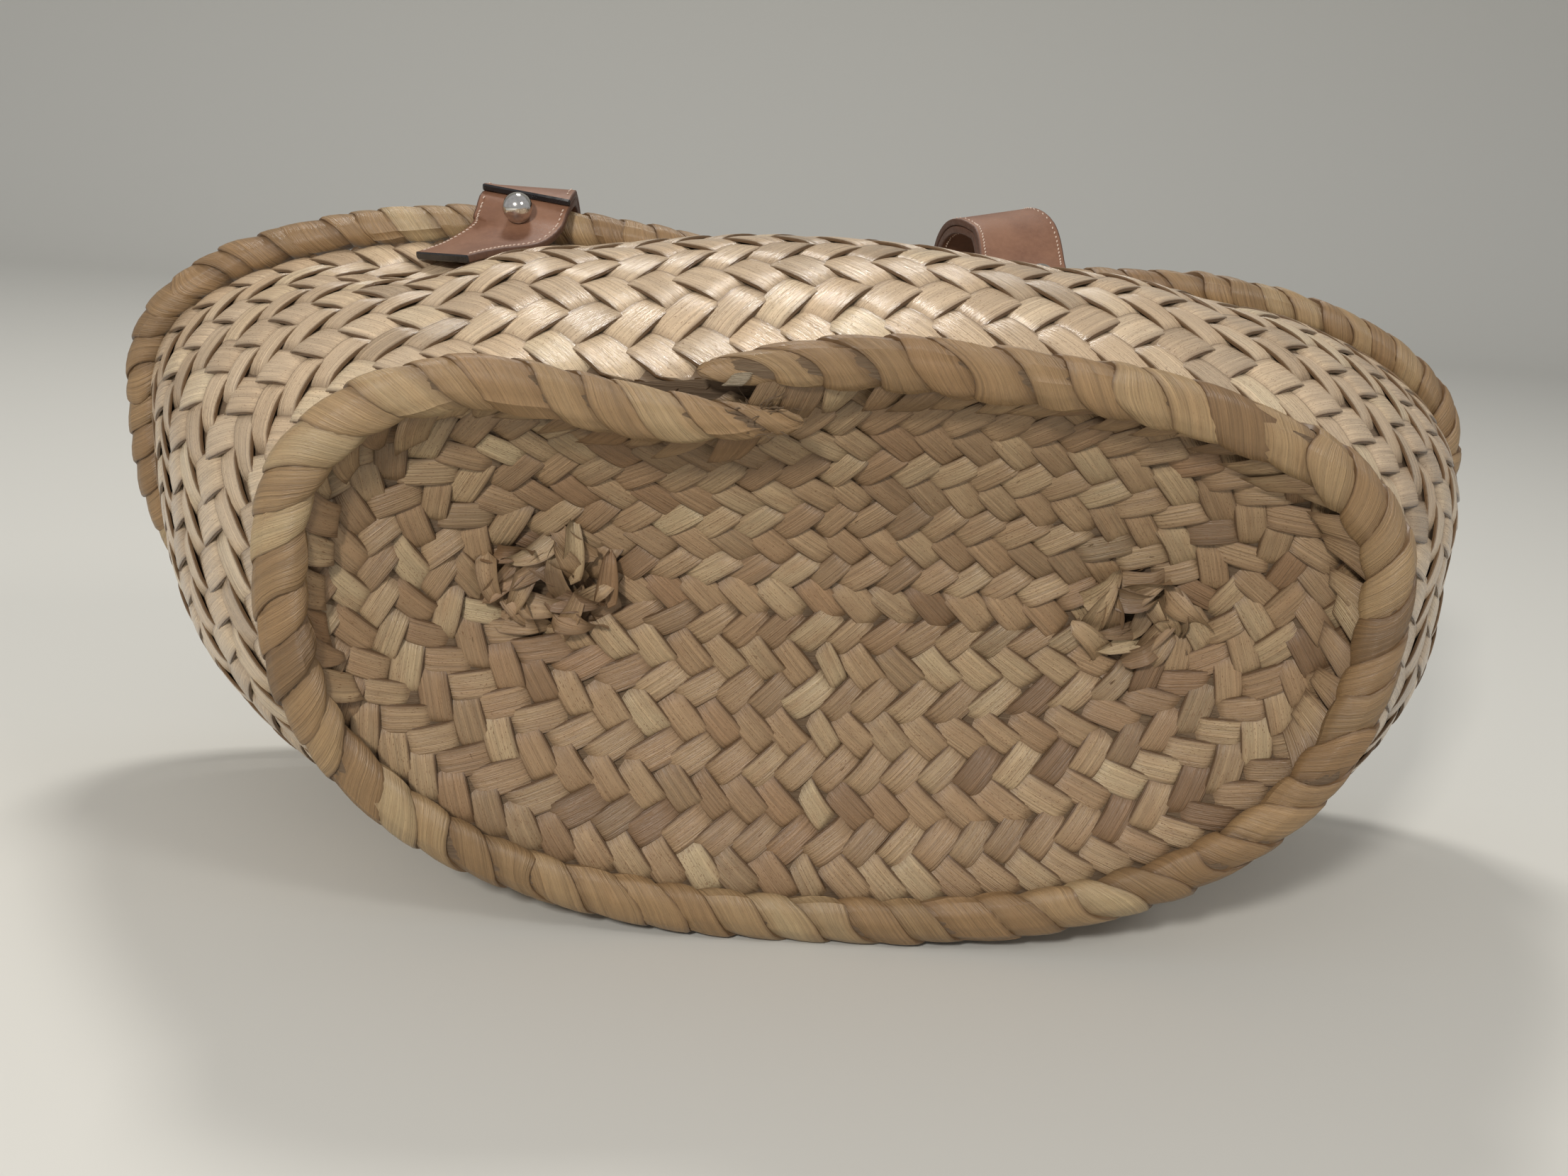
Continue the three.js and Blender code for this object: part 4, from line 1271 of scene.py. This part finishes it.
def simple_material(name, colour, low, high, scale, metallic=0.0, relief=0.0):
    """A finish of one hue whose shade and roughness vary with noise."""
    material, tree, shader = new_material(name)
    cloud = object_noise(tree, scale, 3, 0.6)
    dark = tuple(0.75 * c for c in colour)
    shade = blend(tree, spread(tree, cloud, 0.3, 0.7), (*colour, 1), (*dark, 1))
    rough = spread(tree, cloud, 0.3, 0.7, low, high)
    feed(tree, shader, {"Base Color": shade, "Roughness": rough, "Metallic": metallic})
    if relief:
        add_relief(tree, shader, cloud, 0.5, relief)
    return material


LEATHER = leather_material()
RAW_EDGE = simple_material("cut edge of leather", (0.1, 0.045, 0.025), 0.45, 0.7, 900, relief=0.0001)
PAINT = simple_material("black edge paint", (0.012, 0.011, 0.012), 0.22, 0.42, 500, relief=0.0001)
THREAD = simple_material("pale thread", (0.6, 0.46, 0.37), 0.6, 0.85, 3000, relief=0.0001)
STEEL = simple_material("polished steel", (0.74, 0.71, 0.67), 0.07, 0.2, 900, metallic=1.0)


# %% Layers of leather
LAYER_DENSITY = 4
END_BEVEL = 0.06
END_SHRINK = 0.45
LAYER_FINISHES = [LEATHER, RAW_EDGE, PAINT]


def layer_section(width, low, high, bevel=0.55):
    """Outline of a layer across its run: flat faces and rounded edges, with a mark for each cut side."""
    half = width / 2
    turn = np.radians([0, 30, 60, 90])
    corner = np.stack([np.cos(turn), np.sin(turn)], -1) * bevel
    right_top = corner + (half - bevel, high - bevel)
    left_top = corner[::-1] * (-1, 1) + (bevel - half, high - bevel)
    left_low = corner * (-1, -1) + (bevel - half, low + bevel)
    right_low = corner[::-1] * (1, -1) + (half - bevel, low + bevel)
    across = np.linspace(half - bevel, bevel - half, 7)[1:-1]
    face = np.stack([across, np.full(5, high)], -1)
    back = np.stack([-across, np.full(5, low)], -1)
    points = np.concatenate([right_top, face, left_top, left_low, back, right_low])
    raw = np.ones(len(points), int)
    raw[3:9] = 0
    raw[16:22] = 0
    return points, raw


def leather_layer(name, route, first, last, low, high):
    """One layer of a strap: its outline carried along the line, drawn in and capped at both ends."""
    section, raw = layer_section(STRAP_WIDTH, low, high)
    steps = np.linspace(first, last, LAYER_DENSITY * (last - first) + 1)
    steps = np.concatenate([[first], steps, [last]])
    steps[1] += END_BEVEL
    steps[-2] -= END_BEVEL
    place, wide, out, _ = strap_frames(route, steps)
    drawn_in = np.zeros((len(steps), 1, 1))
    drawn_in[[0, -1]] = 1
    middle = np.array([0, (low + high) / 2])
    shrink = np.sign(section - middle) * np.minimum(np.abs(section - middle), END_SHRINK)
    sections = section[None] - shrink[None] * drawn_in
    points = place[:, None] + sections[..., :1] * wide[:, None] + sections[..., 1:] * out[:, None]
    sides = len(section)
    body = grid_faces(len(steps), sides, closed=True)
    slots = np.tile(raw, len(steps) - 1)
    slots[:sides] = 2
    slots[-sides:] = 2
    ends = end_caps(len(steps), sides)
    faces = [body[:, ::-1], ends[:, ::-1]]
    slots = np.concatenate([slots, [2, 2]])
    return add_piece(name, points, faces, LAYER_FINISHES, face_slots=slots)


STRAPS = {"front": FRONT_ROUTE, "back": BACK_ROUTE}
for side, route in STRAPS.items():
    layer = leather_layer(side + "_leather_strap", route, 0, STRAP_STEPS, 0, STRAP_THICK)
    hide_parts(side + "_strap")
    low = STRAP_THICK + FACING_SEAT
    high = low + FACING_THICK
    name = side + "_leather_facing"
    layer = leather_layer(name, route, FACING_FIRST, FACING_LAST, low - FACING_SUNK, high)
    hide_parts(side + "_strap_facing")

# %% [markdown]
# A seam of small slanting stitches runs just inside both edges. Each stitch
# is the same little sausage, made once as a grid and set along the line.
# %% Stitches
STITCH_PITCH = 1.35
STITCH_LENGTH = 1.1
STITCH_THICK = 0.26
SEAM_INSIDE = 1.7
STITCH_RINGS = 5
STITCH_SIDES = 6


def stitch_shape():
    """A rounded thread: a circle carried along a bow, smaller at both ends."""
    share = np.linspace(-1, 1, STITCH_RINGS)[:, None]
    turn = circle(STITCH_SIDES)[None]
    thick = STITCH_THICK * np.sqrt(np.clip(1.02 - share ** 2, 0.02, 1))
    along = share * STITCH_LENGTH / 2 + 0 * turn
    across = thick * np.cos(turn) + 0.16 * share
    height = thick * np.sin(turn) + 0.12 * (1 - share ** 2) - 0.02
    return np.stack([along, across, height], -1).reshape(-1, 3)


def seam_lines(height_at, first, last, route, chance):
    """Stitches along both edges of a face: step along the strap, side and height give each one's place."""
    length = strap_frames(route, [0])[3]
    count = int((last - first) / STRAP_STEPS * length / STITCH_PITCH)
    steps = np.linspace(first, last, count)
    shape = stitch_shape()
    place, wide, out, _ = strap_frames(route, steps)
    along = np.cross(out, wide)
    seams = []
    for side in (-1, 1):
        jitter = chance.normal(0, 0.06, (count, 1))
        middle = place + wide * (side * (STRAP_WIDTH / 2 - SEAM_INSIDE) + jitter) + out * height_at
        flip = np.sign(height_at - 0.01)
        flat = shape[None, :, :1] * along[:, None] + shape[None, :, 1:2] * wide[:, None]
        seams.append(middle[:, None] + flat + flip * shape[None, :, 2:] * out[:, None])
    return np.concatenate(seams)


def add_seams(name, route, seed):
    """All the stitches of one strap: on the facing, on the strap beyond it, and along the inner face."""
    chance = np.random.default_rng(seed)
    top = STRAP_THICK + FACING_SEAT + FACING_THICK
    parts = [
        (seam_lines(top, FACING_FIRST + 0.4, FACING_LAST - 0.4, route, chance), False),
        (seam_lines(STRAP_THICK, 0.4, FACING_FIRST - 0.3, route, chance), False),
        (seam_lines(STRAP_THICK, FACING_LAST + 0.3, STRAP_STEPS - 0.4, route, chance), False),
        (seam_lines(0.0, FACING_FIRST + 3, FACING_LAST - 3, route, chance), True),
    ]
    grid = grid_faces(STITCH_RINGS, STITCH_SIDES, closed=True)
    size = STITCH_RINGS * STITCH_SIDES
    ends = end_caps(STITCH_RINGS, STITCH_SIDES)
    points = np.concatenate([p for p, _ in parts])
    flipped = np.concatenate([np.full(len(p), f) for p, f in parts])
    faces = []
    for shape in (grid[:, ::-1], ends):
        every = shape[None] + size * np.arange(len(points))[:, None, None]
        every[flipped] = every[flipped][:, :, ::-1]
        faces.append(every.reshape(-1, shape.shape[1]))
    return add_piece(name, points, faces, [THREAD])


add_seams("front_strap_stitches", FRONT_ROUTE, 41)
add_seams("back_strap_stitches", BACK_ROUTE, 42)

# %% [markdown]
# A ball stud is turned: a thin flange on the leather, a narrow neck and a
# ball. Its outline is a list of circle points, spun round the stud's axis.
# %% Ball studs
STUD_RADIUS = 4.5
STUD_CENTRE = 3.3
STUD_NECK = 2.4
STUD_FLANGE = 3.4
STUD_FLANGE_THICK = 0.7
STUD_SIDES = 40
STUD_RINGS = 26
POLE = 0.001
STUDS = [
    {"name": "front_left_stud", "strap": "front", "step": 5, "seat": 0.5},
    {"name": "front_right_stud", "strap": "front", "step": 75, "seat": 1.1},
    {"name": "back_left_stud", "strap": "back", "step": 4, "seat": 0.4},
    {"name": "back_right_stud", "strap": "back", "step": 74, "seat": 0.7},
]


def stud_profile():
    """Radius and height from the seat up: flange with a bevelled lip, neck, then the ball to its pole."""
    neck = math.asin(STUD_NECK / STUD_RADIUS)
    turn = np.linspace(neck, math.pi, STUD_RINGS)
    ball = np.stack([STUD_RADIUS * np.sin(turn), STUD_CENTRE - STUD_RADIUS * np.cos(turn)], -1)
    lip = STUD_FLANGE_THICK
    ball = ball[ball[:, 1] > lip]
    edge = [[STUD_FLANGE, 0], [STUD_FLANGE, lip * 0.6], [STUD_FLANGE - 0.2, lip], [ball[0, 0], lip]]
    profile = np.concatenate([[[POLE, 0]], edge, ball])
    profile[-1, 0] = POLE
    return profile


def add_stud(row):
    """The profile spun round the leather's outer direction at the stud's foot."""
    place, wide, out, _ = strap_frames(STRAPS[row["strap"]], [row["step"]])
    foot = place[0] + out[0] * (STRAP_THICK + row["seat"])
    first = wide[0]
    second = np.cross(out[0], first)
    profile = stud_profile()
    turn = circle(STUD_SIDES)
    ring = np.cos(turn)[:, None] * first + np.sin(turn)[:, None] * second
    points = foot + profile[:, None, :1] * ring[None] + profile[:, None, 1:] * out[0]
    faces = grid_faces(len(profile), STUD_SIDES, closed=True)
    stud = add_piece("steel_" + row["name"], points, [faces[:, ::-1]], [STEEL])
    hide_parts(row["name"])


for row in STUDS:
    add_stud(row)


# %% [markdown]
# The bag lies on a pale floor that curves up into a backdrop, as in a small
# photo studio. It is one sheet: a profile of depth and height, drawn across.
# Its colour is plain, so that nothing takes the eye from the bag.
# %% Floor and backdrop
FLOOR_COLOUR = (0.58, 0.575, 0.535, 1)
FLOOR_HALF = 4000
FLOOR_FRONT = -3000
BEND_START = 1500
BEND_RADIUS = 500
BACKDROP_TOP = 3500


def add_stage():
    """A pale floor that curves up into a backdrop far behind the bag."""
    across = np.linspace(-FLOOR_HALF, FLOOR_HALF, 9)
    bend = np.linspace(0, np.pi / 2, 13)
    back = BEND_START + BEND_RADIUS
    depth = np.concatenate([[FLOOR_FRONT, 0], BEND_START + BEND_RADIUS * np.sin(bend), [back]])
    height = np.concatenate([[0, 0], BEND_RADIUS - BEND_RADIUS * np.cos(bend), [BACKDROP_TOP]])
    x, y = np.meshgrid(across, depth, indexing="ij")
    points = np.stack([x, y, np.broadcast_to(height, x.shape)], -1).reshape(-1, 3) - ORIGIN
    mesh = bpy.data.meshes.new("floor")
    faces = grid_faces(len(across), len(depth))
    mesh.from_pydata(to_frame(points).tolist(), [], faces.tolist())
    mesh.shade_smooth()
    material, tree, shader = new_material("pale paper")
    feed(tree, shader, {"Base Color": FLOOR_COLOUR, "Roughness": 0.9})
    mesh.materials.append(material)
    add_object("floor", mesh)


add_stage()


# %% [markdown]
# In the photograph the bag's top is bright, its base is lit softly from the
# front, and its shadows are soft. Three small area lamps do much the same
# here, and a pale sky fills the shadows.
# %% Light
LAMPS = [
    ("ceiling light", (-0.1, 0.6, 1.4), 0.28, 10, (1, 0.97, 0.93)),
    ("left lamp", (-0.5, -1.35, 0.85), 0.16, 16, (1, 0.96, 0.91)),
    ("right lamp", (0.8, -1.0, 1.1), 0.3, 4, (1, 0.97, 0.93)),
]
SKY_COLOUR = (0.9, 0.9, 0.92, 1)
SKY_STRENGTH = 0.47


def add_area(name, place, size, watts, colour, aim=(0, 0, 0.08)):
    """A square soft box that points at the bag."""
    light = bpy.data.lights.new(name, "AREA")
    light.size = size
    light.energy = watts
    light.color = colour
    lamp = add_object(name, light)
    lamp.location = place
    lamp.rotation_euler = (Vector(aim) - Vector(place)).to_track_quat("-Z", "Y").to_euler()


for lamp_row in LAMPS:
    add_area(*lamp_row)
world = bpy.data.worlds.new("room")
world.use_nodes = True
sky = world.node_tree.nodes["Background"]
feed(world.node_tree, sky, {"Color": SKY_COLOUR, "Strength": SKY_STRENGTH})
bpy.context.scene.world = world
bpy.context.scene.view_settings.view_transform = "Standard"
print("lamps:", [row[0] for row in LAMPS])
